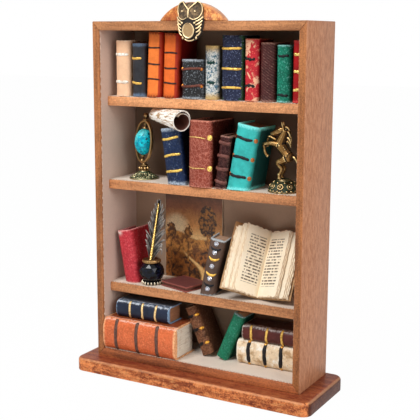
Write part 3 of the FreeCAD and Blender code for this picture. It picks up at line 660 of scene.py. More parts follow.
# Books of the middle shelf: the blue one leans on the scroll's side, the last two lean right.
bind("blue_book", leather(
    "blue_goat", (22, 40, 74), (176, 190, 206), (6, 10, 20), "pebble", 0.12, lip=2.4, fleck=0.12,
    paintwork=worn_patches), lean=-8.5, deep=0.55)
bind("russet_book", leather(
    "russet_tooled_calf", (150, 68, 52), (218, 144, 122), (52, 6, 2), "wrinkle", 0.12, gloss=0.4, lip=0.9,
    fleck=0.1, shade=0.8, vein=0.42), bulge=2.2, lip=0.5, deep=0.5)
bind("oxblood_book", leather(
    "oxblood_calf", (58, 12, 12), (176, 130, 116), (22, 4, 6), "wrinkle", 0.1, lip=0.9, rub=0.12,
    fleck=0.05, vein=0.1), lean=7.0)
bind("turquoise_book", leather(
    "turquoise_goat", (60, 190, 184), (136, 244, 240), (2, 48, 46), lip=2.2, fleck=0.35, bulge=0.8,
    shade=0.6), lean=10.3, bulge=1.8, lip=0.6, deep=0.6)

# Books of the lower shelf: one leaning left, one lying flat, and one with glass stones on its spine.
bind("crimson_book", leather(
    "crimson_goat", (190, 52, 62), (226, 150, 146), (140, 16, 28), "pebble", 0.16, lip=0.9, fleck=0.35,
    shade=0.7, paintwork=bare_corner), lean=-10.5)
bind("flat_maroon_book", leather(
    "flat_maroon_calf", (120, 58, 52), (172, 96, 82), (104, 58, 56), depth=0.08, lip=0.5, rub=0.6,
    bulge=0.5), lean=90.0, turn=163.0, bulge=0.5, lip=0.1, deep=0.3)
bind("jewelled_book", leather(
    "grey_brown_calf", (98, 76, 64), (190, 200, 204), (12, 6, 4), lip=0.9, fleck=0.2, bulge=0.9),
    lean=11.0, turn=10.0, bulge=1.8)

# Books on the case's floor: two pairs lying flat, and two standing aslant between them.
bind("tan_folio", leather(
    "tan_russia_leather", (222, 112, 66), (250, 190, 138), (120, 54, 26), "pebble", 0.05, gloss=0.4,
    lip=1.6, rub=0.3, fleck=0.35, bulge=2.6, shade=0.7, painted_highlight=0.5), lean=90.0, bulge=2.6, lip=0.6,
    deep=0.6)
bind("navy_folio", leather(
    "navy_calf", (34, 42, 62), (140, 170, 200), (84, 88, 98), depth=0.08, gloss=0.34, lip=0.8, rub=0.2,
    fleck=0.2, painted_highlight=0.75), lean=90.0)
bind("brown_clasp_book", leather(
    "brown_suede", (130, 84, 58), (160, 126, 98), (80, 48, 32), "pebble", 0.14, gloss=0.7, lip=0.5,
    fleck=0.6, shade=0.3), lean=-24.0)
bind("emerald_book", leather(
    "emerald_calf", (28, 124, 92), (168, 208, 214), (10, 66, 50), "pebble", 0.08, gloss=0.4, lip=0.7,
    bulge=1.8, shade=0.6), lean=22.5, bulge=1.8, lip=0.15)
bind("umber_book", leather(
    "umber_calf", (94, 42, 36), (222, 206, 192), (76, 32, 24), depth=0.07, gloss=0.36, lip=0.8, rub=0.25,
    fleck=0.2, painted_highlight=0.6), lean=90.0)
bind("vellum_book", leather(
    "vellum_skin", (246, 220, 184), (254, 246, 226), (190, 156, 108), gloss=0.4, lip=1.2, rub=0.4,
    fleck=0.35, bulge=2.2, shade=0.85, painted_highlight=0.5, paintwork=stained), lean=90.0, bulge=2.2, lip=0.5,
    deep=0.55)

# Pages: each book's block of leaves, glued into the spine and a little smaller than the cover.
# Single leaves stand out unevenly at the head and the fore edge; the edges have browned.
def loose_parts(node):
    """The separate solids of a CAD node, each as a working copy."""
    with editing(working_copy(node)):
        bpy.ops.mesh.separate(type="LOOSE")
    return sorted(bpy.context.selected_objects, key=lambda part: tuple(vertices(part).mean(axis=0).round(3)))


def book_of(point):
    """The book that a point lies in or on."""
    def gap(node):
        local = stood[node].turn.T @ point
        return np.linalg.norm(np.maximum(0.0, np.maximum(stood[node].low - local, local - stood[node].high)))
    return min(stood, key=gap)


def join_up(pieces, name):
    """Makes one piece of several."""
    take_up(pieces[0])
    for piece in pieces:
        piece.select_set(True)
    bpy.ops.object.join()
    whole = bpy.context.object
    whole.name = name
    whole.data.name = name
    return whole


LEAF = 0.5
chance = np.random.default_rng(7)
PAPER = (224, 200, 164)
page_tint = {"turquoise_book": (124, 84, 58), "navy_folio": (168, 118, 84), "jewelled_book": (182, 150, 124),
             "tan_folio": (238, 226, 208), "oxblood_book": (150, 118, 96), "russet_book": (120, 84, 62),
             "flat_maroon_book": (128, 74, 60), "crimson_book": (120, 60, 56)}
blocks = []
for block in loose_parts("page_blocks"):
    node = book_of(vertices(block).mean(axis=0))
    book = stood[node]
    block.data.transform(book.stance.inverted())
    points = vertices(block)
    inner_low, inner_high = points.min(axis=0), points.max(axis=0)
    cut_across(block, (1, 0, 0), np.arange(inner_low[0] + LEAF, inner_high[0] - 0.1, LEAF))
    points = vertices(block)
    leaf = np.rint((points[:, 0] - inner_low[0]) / LEAF).astype(int)
    stand_out = chance.uniform(0.0, 0.32, leaf.max() + 1)[leaf]
    points[:, 1:] -= np.where(points[:, 1:] > inner_high[1:] - 0.05, stand_out[:, None] * (1.0, 0.8), 0.0)
    across = points[:, 0] - book.middle
    length = book.high[1] - book.low[1]
    depth = round_spine(across, points[:, 1] - book.low[1], book.half, book.bulge, book.deep, length)
    points[:, 1] = book.low[1] + depth
    move_vertices(block, points)
    note(block, "bound", "FLOAT_VECTOR", points - inner_low)
    note(block, "dye", "FLOAT_COLOR", np.tile(paint(*page_tint.get(node, PAPER)), (len(points), 1)))
    block.data.transform(book.stance)
    blocks.append(block)
pages = join_up(blocks, "page_blocks_piece")
bpy.ops.object.shade_flat()
finish = Finish("page_edges")
at = finish.attribute("bound")
tint = finish.attribute("dye", "Color")
leaves = at.stretch(6.0, 0.12, 0.12).noise(1.0, 2.0)
colour = tint.mix(leaves.above(0.45, 0.75) * 0.55, tint.mix(1.0, (150, 120, 92), "MULTIPLY"))
colour = colour.mix(at.noise(0.35, 4.0).above(0.5, 0.8) * 0.5, tint.mix(1.0, (190, 150, 104), "MULTIPLY"))
dress(pages, finish.done(colour, 0.85, (leaves, 0.1)), "page_blocks")

# Bands and straps: cords and strips of leather glued across the spines, the gilt ones brushed with gold size.
# They lie a little crooked, thin out at their ends and stop short of the shoulders.
def primitive(kind, **sizes):
    """A new form of one of the kinds that the operators add."""
    bpy.ops.object.select_all(action="DESELECT")
    getattr(bpy.ops.mesh, f"primitive_{kind}_add")(**sizes)
    return bpy.context.object


strip_form = primitive("uv_sphere", segments=10, ring_count=26, radius=1.0)
ball = np.array([vertex.co for vertex in strip_form.data.vertices])


def on_spine(book, across, out):
    """Places on a book's spine, at distances from its middle and out from its surface."""
    slope = (arch(across + 0.01, book.half, book.deep) - arch(across - 0.01, book.half, book.deep)) / 0.02
    lean = np.sqrt(1.0 + slope * slope)
    fallen = arch(across, book.half, book.deep)
    return book.middle + across + out * slope / lean, book.low[1] + fallen - out / lean


def strip(book, level, turn, width, thick, reach, dye, metal=0.0, blunt=9, lumps=0.08, wave=0.18, slant=0.0,
          sag=0.0):
    """A band laid round a book's spine at a level, as a copy of the strip's form."""
    start, end = (math.asin(share) for share in reach)
    share = 1.0 - np.arccos(np.clip(ball[:, 2], -1.0, 1.0)) / math.pi
    round_at = np.arctan2(ball[:, 1], ball[:, 0])
    full = (1.0 - np.abs(2 * share - 1) ** blunt) ** 0.5 * (1 + lumps * np.sin(share * 19 + turn * 5))
    out = thick * full * np.maximum(np.sign(np.sin(round_at)) * np.abs(np.sin(round_at)) ** 0.7, -0.35)
    drift = wave * np.sin(share * 6.5 + turn * 2.1) + slant * (share - 0.5) - sag * (1 - (2 * share - 1) ** 2)
    across, depth = on_spine(book, book.half * np.sin(start + (end - start) * share), out)
    piece = add("strip", strip_form.data.copy())
    up = level + width / 2 * full * np.cos(round_at) + drift
    move_vertices(piece, np.column_stack((across, depth, up)))
    with editing(piece):
        bpy.ops.mesh.normals_make_consistent(inside=False)
    note(piece, "dye", "FLOAT_COLOR", np.tile(paint(*dye)[:3] + (metal,), (len(ball), 1)))
    piece.data.transform(book.stance)
    return piece


GOLD = (240, 196, 96)
BLACK = (22, 18, 20)
BROWN = (50, 26, 24)
gilt_look = {
    "beige_book": dict(width=1.6, thick=0.4, reach=(-0.97, 0.86), dye=(252, 246, 234), lumps=0.1, wave=0.08),
    "charcoal_book": dict(width=1.3, thick=0.5, reach=(-0.97, 0.6), dye=GOLD, metal=0.4, slant=-0.3),
    "navy_gilt_book": dict(width=1.25, thick=0.5, reach=(-0.98, 0.9), dye=GOLD, metal=0.4, wave=0.1),
    "red_gilt_book": dict(width=1.5, thick=0.5, reach=(-0.8, 0.86), dye=(246, 214, 120), metal=0.4, blunt=4,
                          lumps=0.18),
    "blue_book": dict(width=1.35, thick=0.55, reach=(-0.9, 0.86), dye=(244, 206, 104), metal=0.4, slant=0.6),
    "russet_book": dict(width=0.5, thick=0.28, reach=(-0.97, 0.6), dye=(246, 212, 130), metal=0.5, slant=-0.5,
                        wave=0.2, lumps=0.05),
    "jewelled_book": dict(width=1.35, thick=0.55, reach=(-0.66, 0.7), dye=(246, 196, 92), metal=0.35, sag=1.3,
                          blunt=4, lumps=0.05, wave=0.05),
    "navy_folio": dict(width=1.2, thick=0.5, reach=(-0.98, 0.95), dye=(248, 214, 150), metal=0.3, lumps=0.06),
    "umber_book": dict(width=1.35, thick=0.5, reach=(-0.98, 0.97), dye=(246, 202, 104), metal=0.4),
}
strap_look = {
    "orange_left_book": dict(width=0.8, thick=0.4, reach=(-0.97, 0.84), dye=BROWN, lumps=0.06, wave=0.1),
    "orange_right_book": dict(width=0.9, thick=0.4, reach=(-0.85, 0.88), dye=BROWN, wave=0.12),
    "black_corded_book": dict(width=1.3, thick=0.6, reach=(-0.99, 0.99), dye=(112, 62, 50), slant=0.8,
                              lumps=0.06),
    "marbled_book": dict(width=1.6, thick=0.3, reach=(-0.6, 0.7), dye=(8, 56, 52), blunt=3, lumps=0.3),
    "mottled_red_book": dict(width=1.4, thick=0.45, reach=(-0.92, 0.66), dye=BLACK, blunt=5, lumps=0.3,
                             wave=0.25),
    "green_book": dict(width=1.3, thick=0.35, reach=(-0.8, 0.86), dye=(8, 24, 26), blunt=4, lumps=0.2),
    "oxblood_book": dict(width=1.9, thick=0.75, reach=(-0.99, 0.99), dye=(116, 70, 62), blunt=14, lumps=0.1),
    "turquoise_book": dict(width=1.5, thick=0.55, reach=(-0.85, 0.68), dye=BLACK, blunt=8, lumps=0.1,
                           wave=0.22),
    "jewelled_book": dict(width=1.3, thick=0.5, reach=(-0.66, 0.7), dye=(12, 14, 22), sag=1.2, blunt=4,
                          lumps=0.05, wave=0.05),
    "tan_folio": dict(width=2.0, thick=0.5, reach=(-0.98, 0.99), dye=(104, 74, 64), blunt=12, lumps=0.05,
                      wave=0.1),
    "brown_clasp_book": dict(width=1.6, thick=0.6, reach=(-0.9, 0.2), dye=BLACK, blunt=6, slant=0.5,
                             lumps=0.1),
    "vellum_book": dict(width=2.1, thick=0.55, reach=(-0.9, 0.8), dye=BLACK, blunt=8),
}


def lay_strips(node, looks, material):
    """Lays a strip where each solid of a CAD node is."""
    strips = []
    for number, part in enumerate(loose_parts(node)):
        name = book_of(vertices(part).mean(axis=0))
        level = (vertices(part) @ stood[name].turn)[:, 2]
        strips.append(strip(stood[name], (level.min() + level.max()) / 2, number, **looks[name]))
        bpy.data.objects.remove(part)
    whole = join_up(strips, node + "_piece")
    bpy.ops.object.shade_smooth()
    dress(whole, material, node)


def brushed(name, gloss):
    """Gold size, brass or dyed leather, by the colour kept with the piece, rubbed and a little dirty."""
    finish = Finish(name, Specular_IOR_Level=0.25)
    place = finish.place()
    dye = finish.attribute("dye", "Color")
    dirt = place.noise(0.9, 4.0)
    fine = place.noise(3.5, 3.0)
    colour = dye.mix((dirt + fine * 0.4).above(0.6, 0.95), dye.mix(1.0, (176, 150, 122), "MULTIPLY"))
    metal = finish.attribute("dye", "Alpha")
    return finish.done(colour, gloss + 0.25 * fine, (fine, 0.08), (dirt, 0.1), Metallic=metal)


lay_strips("gilt_bands", gilt_look, brushed("gold_size", 0.22))
lay_strips("dark_straps", strap_look, brushed("strap_leather", 0.3))
bpy.data.objects.remove(strip_form)

# Studs: small brass nail heads at the ends of some straps, with a rolled brim.
# One is modelled, and a copy is driven in at every place that the CAD has one.
def crowned(sides, depth, steps, point=0.0):
    """A round form whose top is drawn in and raised or sunk step by step, and may end in a low point."""
    form = primitive("cylinder", vertices=sides, radius=1.0, depth=depth, location=(0, 0, 0))
    with editing(form):
        bpy.ops.mesh.select_mode(type="FACE")
        bpy.ops.mesh.select_all(action="DESELECT")
    for face in form.data.polygons:
        face.select = face.normal.z > 0.9
    bpy.ops.object.mode_set(mode="EDIT")
    for inset, rise in steps:
        bpy.ops.mesh.inset(thickness=inset)
        bpy.ops.transform.translate(value=(0, 0, rise))
    if point:
        bpy.ops.mesh.poke(offset=point)
    bpy.ops.object.mode_set(mode="OBJECT")
    return form


stud_form = crowned(20, 0.5, ((0.1, 0.1), (0.12, -0.12), (0.14, 0.3), (0.22, 0.22), (0.22, 0.1)))
smooth(stud_form, 60)
stud_look = {"black_corded_book": (0.85, 0.9, 0.8, (226, 146, 62)),
             "russet_book": (1.35, 1.45, 0.3, (246, 208, 112)),
             "turquoise_book": (1.1, 1.15, 0.4, (196, 122, 70)),
             "brown_clasp_book": (1.3, 0.75, 0.7, (246, 192, 84)),
             "vellum_book": (0.9, 0.9, 0.7, (232, 176, 92))}
studs = []
for part in loose_parts("studs"):
    centre = vertices(part).mean(axis=0)
    name = book_of(centre)
    book = stood[name]
    local = book.turn.T @ centre
    across = np.clip(local[0] - book.middle, -0.95 * book.half, 0.95 * book.half)
    seat = Vector((*on_spine(book, across, 0.0), local[2]))
    outward = Vector((*on_spine(book, across, 1.0), local[2])) - seat
    side = outward.cross(Vector((0, 0, 1)))
    aim = Matrix((-side, side.cross(outward), outward)).transposed().to_4x4()
    long, broad, tall, dye = stud_look[name]
    stud = add("stud", stud_form.data.copy())
    size = Matrix.Diagonal((long * MM, broad * MM, tall * MM, 1.0))
    stud.data.transform(book.stance @ Matrix.Translation(seat * MM) @ aim @ size)
    note(stud, "dye", "FLOAT_COLOR", np.tile(paint(*dye)[:3] + (0.7,), (len(stud.data.vertices), 1)))
    studs.append(stud)
    bpy.data.objects.remove(part)
bpy.data.objects.remove(stud_form)
dress(join_up(studs, "studs_piece"), brushed("stud_brass", 0.2), "studs")

# Glass stones: five foil-backed rhinestones in pinched metal cups, glued down one spine.
# Eight main facets, a flat table on top, and a cup edge that stands up round each.
stone_form = crowned(8, 0.4, ((0.12, 0.12), (0.08, -0.16), (0.22, 0.42), (0.16, 0.16)), 0.05)
STONE_RADIUS = 1.3
book = stood["jewelled_book"]
stones = []
for number, part in enumerate(loose_parts("spine_gems")):
    local = book.turn.T @ vertices(part).mean(axis=0)
    gem = add("stone", stone_form.data.copy())
    aim = Matrix.Rotation(math.radians(90), 4, "X") @ Matrix.Rotation(0.4 * number, 4, "Z")
    seat = Vector((local[0], book.low[1] - 0.05, local[2]))
    gem.data.transform(book.stance @ Matrix.Translation(seat * MM) @ aim @ Matrix.Scale(STONE_RADIUS * MM, 4))
    stones.append(gem)
    bpy.data.objects.remove(part)
bpy.data.objects.remove(stone_form)
finish = Finish("rhinestone", Metallic=0.75, Coat_Weight=1.0, Coat_Roughness=0.03)
place = finish.place()
shine = place.cells(1.4).ramp((0.1, (250, 252, 255)), (0.5, (196, 204, 214)), (0.8, (236, 232, 240)))
dress(join_up(stones, "spine_gems_piece"), finish.done(shine, 0.06 + 0.1 * place.noise(1.5)), "spine_gems")

# Owl: a cast bronze charm glued on the front of the crest and the top board.
# The hollows are black with oxide, and the ridges of brow, rims and feathers are rubbed bright.
def rod(points, radii, cyclic=False, sides=2):
    """A round rod through points, as thick at each as radii says."""
    line = bpy.data.curves.new("rod", "CURVE")
    line.dimensions = "3D"
    line.bevel_depth = MM
    line.bevel_resolution = sides
    line.use_fill_caps = True
    line.resolution_u = 5
    spline = line.splines.new("BEZIER")
    spline.bezier_points.add(len(points) - 1)
    spline.use_cyclic_u = cyclic
    for knot, place, radius in zip(spline.bezier_points, points, radii):
        knot.co = Vector(place) * MM
        knot.handle_left_type = "AUTO"
        knot.handle_right_type = "AUTO"
        knot.radius = radius
    take_up(add("rod", line))
    bpy.ops.object.convert(target="MESH")
    piece = bpy.context.object
    with editing(piece):
        bpy.ops.mesh.remove_doubles(threshold=0.001 * MM)
        bpy.ops.mesh.normals_make_consistent(inside=False)
    return piece


def blob(place, size, turn=None, segments=16, rings=10):
    """A rounded lump of three half sizes at a place."""
    piece = primitive("uv_sphere", segments=segments, ring_count=rings, radius=1.0)
    piece.data.transform(Matrix.LocRotScale(Vector(place) * MM, turn, Vector(size) * MM))
    return piece


def hoop(place, major, minor, aim=(0, 0, 1), stretch=1.0, segments=28):
    """A ring round an axis."""
    piece = primitive("torus", major_segments=segments, minor_segments=8, major_radius=major,
                      minor_radius=minor)
    facing = Vector(aim).to_track_quat("Z", "Y")
    piece.data.transform(Matrix.LocRotScale(Vector(place) * MM, facing, Vector((1, stretch, 1)) * MM))
    return piece


def cast(pieces, name, grain, rounds=1):
    """Runs several forms together into one cast skin."""
    whole = join_up(pieces, name)
    apply(whole, "REMESH", mode="VOXEL", voxel_size=grain * MM)
    apply(whole, "SMOOTH", factor=0.5, iterations=rounds)
    bpy.ops.object.shade_smooth()
    return whole


def note_hollows(piece, rounds=2, right_shade=0.0):
    """Keeps with every point how sunken the surface is, for the oxide, plus painted shade on surfaces turned
    to the right.
    """
    points = vertices(piece)
    normals = np.empty(3 * len(points))
    piece.data.vertices.foreach_get("normal", normals)
    normals = normals.reshape(-1, 3)
    ends = np.empty(2 * len(piece.data.edges), dtype=np.int32)
    piece.data.edges.foreach_get("vertices", ends)
    one, two = ends.reshape(-1, 2).T
    run = points[two] - points[one]
    square = np.maximum((run ** 2).sum(axis=1), 1e-6)
    count = np.maximum(np.bincount(ends, minlength=len(points)), 1)
    hollow = np.bincount(one, (run * normals[one]).sum(axis=1) / square, len(points))
    hollow = (hollow - np.bincount(two, (run * normals[two]).sum(axis=1) / square, len(points))) / count
    for turn in range(rounds):
        near = np.bincount(one, hollow[two], len(points)) + np.bincount(two, hollow[one], len(points))
        hollow = 0.5 * hollow + 0.5 * near / count
    hollow += right_shade * np.clip(normals[:, 0], 0.0, 1.0)
    note(piece, "hollow", "FLOAT", np.clip(hollow, -4.0, 4.0))


def cast_metal(name, bright, dull, dark, gloss=0.28, metal=0.95, patina=None):
    """Cast metal: rubbed bright on the ridges, dull on the flats, dark or green in the hollows."""
    finish = Finish(name)
    place = finish.place()
    # The kept value is oxide in the sunken parts, and on the horse also painted shade on its right-facing
    # side.
    hollow = finish.attribute("hollow", "Fac")
    cloud = place.noise(0.6, 4.0)
    fine = place.noise(3.0, 3.0)
    ridge = (cloud * 0.8 - 0.4 - hollow).above(0.05, 0.75)
    depth = (hollow + cloud * 0.6 - 0.3).above(-0.02, 0.5)
    colour = ridge.blend(dull, bright).mix(depth, dark)
    shine = metal - depth * 0.5
    if patina is not None:
        green = (place.noise(0.45, 4.0, 0.6) - ridge * 0.35).above(0.36, 0.5)
        colour = colour.mix(green * 0.85, fine.blend(patina, dimmed(patina, 0.45)))
        shine = shine * (1.0 - green * 0.75)
    return finish.done(colour, gloss + depth * 0.3 + fine * 0.12, (fine, 0.05), (cloud, 0.08), Metallic=shine)


owl_low, owl_high = box_of("owl_badge")
owl_middle = (owl_low.x + owl_high.x) / 2
BELLY = 5.2
BELLY_STRETCH = 1.13


def owl_ground(across, up):
    """How far the owl's domed ground stands out from its back."""
    return max(0.9, 3.2 * max(0.0, 1.0 - (across / 7.5) ** 2 - ((up - 9.6) / 10.6) ** 2) ** 0.5)


def on_owl(across, up, proud):
    """A place on the owl: from its middle, above its foot, and out from its ground."""
    return (owl_middle + across, owl_high.y - owl_ground(across, up) - proud, owl_low.z + up)


def owl_line(points, radii, proud=0.2):
    """A raised line on the owl."""
    return rod([on_owl(*point, proud) for point in points], radii)


half_outline = [(2.4, 0.35), (4.4, 1.6), (6.2, 4.2), (7.1, 7.2), (7.4, 10.2), (7.0, 13.0), (6.9, 15.8),
                (6.1, 18.1), (4.2, 19.3), (2.0, 17.6)]
mirrored = [(-across, up) for across, up in reversed(half_outline)]
outline = [(0.0, 0.0)] + half_outline + [(0.0, 15.9)] + mirrored
plate = primitive("circle", vertices=len(outline), fill_type="NGON")
move_vertices(plate, [(owl_middle + across, owl_high.y, owl_low.z + up) for across, up in outline])
with editing(plate):
    bpy.ops.mesh.extrude_region_move(TRANSFORM_OT_translate={"value": (0, -0.5 * MM, 0)})
    bpy.ops.mesh.inset(thickness=0.4 * MM)
    bpy.ops.transform.translate(value=(0, -0.4 * MM, 0))
    bpy.ops.mesh.select_all(action="SELECT")
    bpy.ops.mesh.normals_make_consistent(inside=False)
owl = [plate, blob((owl_middle, owl_high.y - 0.4, owl_low.z + 9.6), (7.1, 2.8, 9.1), segments=40, rings=24)]
rim = [(4.1, 19.1), (5.9, 18.1), (6.8, 15.8), (6.4, 13.1), (4.9, 11.1), (2.8, 10.5), (0.8, 11.3)]
for side in (-1, 1):
    owl.append(owl_line([(side * 4.1, 19.1), (side * 2.0, 17.1), (0.0, 15.2)], (0.3, 0.34, 0.34)))
    owl.append(owl_line([(side * across, up) for across, up in rim], (0.26, 0.28, 0.3, 0.3, 0.3, 0.28, 0.24)))
    owl.append(blob(on_owl(side * 3.6, 14.4, 0.25), (0.52, 0.5, 0.52)))
    owl.append(blob(on_owl(side * 3.5, 8.9, 0.25), (0.6, 0.5, 0.6)))
    for feather in range(5):
        root = 9.5 - 1.7 * feather
        tip = 7.3 - 0.3 * feather
        vane = [(side * 4.0, root), (side * (4.2 + tip) / 2, root + 0.75), (side * tip, root + 2.3)]
        owl.append(owl_line(vane, (0.3, 0.46, 0.36), 0.22))
    owl.append(blob(on_owl(side * 3.7, 1.8, 0.2), (0.6, 0.55, 0.8)))
owl.append(owl_line([(0, 15.4), (0, 13.4), (0, 11.4)], (0.36, 0.46, 0.24), 0.3))
belly = blob(on_owl(0, BELLY, 0.0), (3.1, 0.9, 3.5), segments=32, rings=16)
points = vertices(belly)
points[:, 1] = np.maximum(points[:, 1], on_owl(0, BELLY, 0.36)[1])
move_vertices(belly, points)
owl.append(belly)
owl.append(hoop(on_owl(0, BELLY, 0.22), 3.1, 0.3, (0, -1, 0), BELLY_STRETCH))
owl.append(owl_line([(-2.7, 1.1), (-1.4, 0.55), (0.0, 0.4), (1.4, 0.55), (2.7, 1.1)],
                    (0.28, 0.4, 0.42, 0.4, 0.28), 0.25))
owl = cast(owl, "owl_badge_piece", 0.11)
points = vertices(owl) - (owl_middle, owl_high.y, owl_low.z)
ground = [owl_ground(across, up) for across, up in points[:, ::2]]
proud = -points[:, 1] - np.array(ground)
on_belly = np.hypot(points[:, 0], (points[:, 2] - BELLY) / BELLY_STRETCH) < 2.75
deepest = np.where(points[:, 2] > 10.9, 0.34, 1.2)
note(owl, "hollow", "FLOAT", np.where(on_belly, -0.1, np.clip(0.9 - 3.6 * proud, -1.3, deepest)))
dress(owl, cast_metal("oxidised_bronze", (232, 206, 160), (176, 144, 104), (44, 38, 34), 0.36), "owl_badge")

# Desk globe: a turquoise bead on a pin across an oval ring, on a beaded collar and a flared foot.
# Foot and collar are cast, with raised petals; green patina fills the ground between them.
def turned(profile, name, steps=48):
    """A form turned on the lathe from (radius, height) points, round the vertical through the origin."""
    mesh = bpy.data.meshes.new(name)
    lines = [(number, number + 1) for number in range(len(profile) - 1)]
    mesh.from_pydata([(radius * MM, 0.0, height * MM) for radius, height in profile], lines, [])
    piece = add(name, mesh)
    with editing(piece):
        bpy.ops.mesh.spin(steps=steps, angle=2 * math.pi, center=(0, 0, 0), axis=(0, 0, 1))
        bpy.ops.mesh.select_all(action="SELECT")
        bpy.ops.mesh.remove_doubles(threshold=0.002 * MM)
        bpy.ops.mesh.normals_make_consistent(inside=False)
    smooth(piece, 45)
    return piece


def middle_of(node):
    """The middle of a node's box, at its lowest level, in millimetres."""
    low, high = box_of(node)
    return Vector(((low.x + high.x) / 2, (low.y + high.y) / 2, low.z))


def spread_round(piece, count):
    """Copies of a piece in a circle round the vertical through the origin; the piece is the first."""
    copies = [piece]
    for number in range(1, count):
        copies.append(add(piece.name, piece.data.copy()))
        copies[-1].data.transform(Matrix.Rotation(2 * math.pi * number / count, 4, "Z"))
    return copies


def set_down(piece, node, material):
    """Stands a piece made round the origin where its CAD node stands, and dresses it."""
    piece.data.transform(Matrix.Translation(middle_of(node) * MM))
    dress(piece, material, node)


foot_profile = [(0, 0), (7.9, 0), (7.9, 0.6), (7.2, 0.8), (6.2, 1.3), (5.0, 1.95), (3.9, 2.8), (3.0, 3.7),
                (2.5, 4.2), (0, 4.2)]


def on_foot(radius, angle, out):
    """A place on the globe's foot."""
    outside, levels = zip(*foot_profile[-2:1:-1])
    return (radius * math.cos(angle), radius * math.sin(angle), np.interp(radius, outside, levels) + out)


PETALS = 12
foot = [turned(foot_profile, "foot_ground")]
petal = [(7.0, 0.0), (6.3, 0.15), (5.2, 0.19), (4.2, 0.13), (3.6, 0.0), (4.2, -0.13), (5.2, -0.19),
         (6.3, -0.15)]
foot += spread_round(rod([on_foot(*point, 0.2) for point in petal], [0.3] * len(petal), True), PETALS)
foot += spread_round(blob(on_foot(5.4, 0.0, 0.15), (0.55, 0.4, 0.35)), PETALS)
foot += spread_round(blob(on_foot(6.75, math.pi / PETALS, 0.15), (0.42, 0.42, 0.4)), PETALS)
foot += spread_round(blob(on_foot(3.7, math.pi / PETALS, 0.2), (0.36, 0.36, 0.4)), PETALS)
foot += [hoop((0, 0, 0.5), 7.5, 0.42, segments=48), hoop((0, 0, 4.0), 2.5, 0.36)]
foot = cast(foot, "globe_foot_piece", 0.16)
note_hollows(foot)
green_bronze = cast_metal("green_bronze", (190, 178, 138), (82, 80, 48), (10, 22, 14), patina=(40, 84, 52))
set_down(foot, "globe_foot", green_bronze)

collar = spread_round(blob((2.35, 0, 1.45), (0.87, 0.87, 0.87)), 8)
stem = [(0, 0), (2.5, 0), (2.5, 0.4), (1.9, 0.65), (1.75, 1.3), (1.75, 2.4), (2.2, 2.75), (2.2, 3.2),
        (1.5, 3.55), (1.3, 4.0), (0, 4.0)]
collar.append(turned(stem, "collar_stem", 32))
collar = join_up(collar, "globe_collar_piece")
note_hollows(collar)
smooth(collar, 50)
BRONZE = ((190, 154, 104), (92, 70, 44), (22, 15, 11))
set_down(collar, "globe_collar", cast_metal("collar_bronze", *BRONZE))

meridian = working_copy("globe_meridian")
ease_edges(meridian, 0.2, 40)
note_hollows(meridian)
dress(meridian, cast_metal("ring_bronze_cast", *BRONZE), "globe_meridian")

spacer = [(0.38, 7.1), (1.0, 7.17), (1.38, 7.4), (1.38, 7.85), (1.05, 8.2), (0.85, 8.8), (1.0, 9.6),
          (1.3, 10.1), (0.38, 10.25)]
top_ball = [(0.38, 11.75), (1.25, 11.9), (1.4, 12.15), (1.2, 12.45), (0.75, 12.55), (0.75, 12.75),
            (1.1, 12.9), (1.0, 13.1), (1.3, 13.5), (1.5, 14.2), (1.3, 15.0), (0.75, 15.5), (0, 15.7)]
lower_half = [(0, -11.5), (0.38, -11.5)] + [(radius, -height) for radius, height in reversed(spacer)]
SPIN_CENTRE = Vector(frame["joints"][0]["pos_m"])
pin = turned(lower_half + spacer + top_ball, "globe_pin_piece", 28)
note_hollows(pin, 1)
upright = Vector(frame["joints"][0]["axis"]).to_track_quat("Z", "Y").to_matrix().to_4x4()
pin.data.transform(Matrix.Translation(SPIN_CENTRE) @ upright)
dress(pin, cast_metal("pin_bronze", *BRONZE), "globe_pin")

finish = Finish("turquoise", Specular_IOR_Level=0.25)
place = finish.place()
across, up = place.split()[::2]
# Painted highlight: the pale patches are pushed towards the stone's upper left, where the light falls.
lean = (up - SPIN_CENTRE.z / MM) * 0.05 - (across - SPIN_CENTRE.x / MM) * 0.04
chalk_and_highlight = (place.noise(0.75, 4.0, 0.7) + lean).above(0.55, 0.72)
matrix = place.noise(0.72, 4.0, 0.7, 0.6)
colour = place.noise(0.4, 4.0, 0.6).above(0.35, 0.65).blend((0, 150, 178), (0, 214, 230))
colour = colour.mix(chalk_and_highlight * 0.45, (120, 236, 226))
colour = colour.mix(matrix.above(0.56, 0.61) * 0.95, (2, 34, 46))
stone = frame["nodes"]["globe_stone"]
stone.material_slots[0].material = finish.done(colour, 0.2 + chalk_and_highlight * 0.2, (matrix, 0.08))

# Rearing horse: a cast brass charm on a domed foot, head to the left, forelegs drawn up.
# The foot is ringed with cast circles and beads, its ground green; the mane and tail hang in strands.
dome = [(0, 0), (7.9, 0), (7.95, 0.6), (7.5, 1.1), (7.25, 1.8), (6.85, 2.9), (6.1, 4.0), (4.9, 5.0),
        (3.7, 5.5), (3.2, 5.65), (3.35, 6.0), (3.2, 6.45), (0, 6.45)]
CIRCLES = 9
stand = [turned(dome, "dome_ground")]
stand += spread_round(hoop((6.65, 0, 3.2), 1.25, 0.27, (0.86, 0, 0.5), segments=20), CIRCLES)
stand += spread_round(blob((6.75, 0, 3.25), (0.62, 0.62, 0.62)), CIRCLES)
near_row = blob((5.15, 0, 4.95), (0.55, 0.55, 0.5))
near_row.data.transform(Matrix.Rotation(math.pi / CIRCLES, 4, "Z"))
stand += spread_round(near_row, CIRCLES)
stand += spread_round(blob((7.45, 0, 0.95), (0.55, 0.6, 0.6)), 20)
stand += [hoop((0, 0, 5.7), 3.35, 0.4), hoop((0, 0, 0.4), 7.55, 0.4, segments=48)]
stand = cast(stand, "horse_foot_piece", 0.16)
note_hollows(stand)
green_brass = cast_metal("green_brass", (190, 160, 110), (74, 54, 30), (8, 14, 10), patina=(30, 58, 34))
set_down(stand, "horse_foot", green_brass)

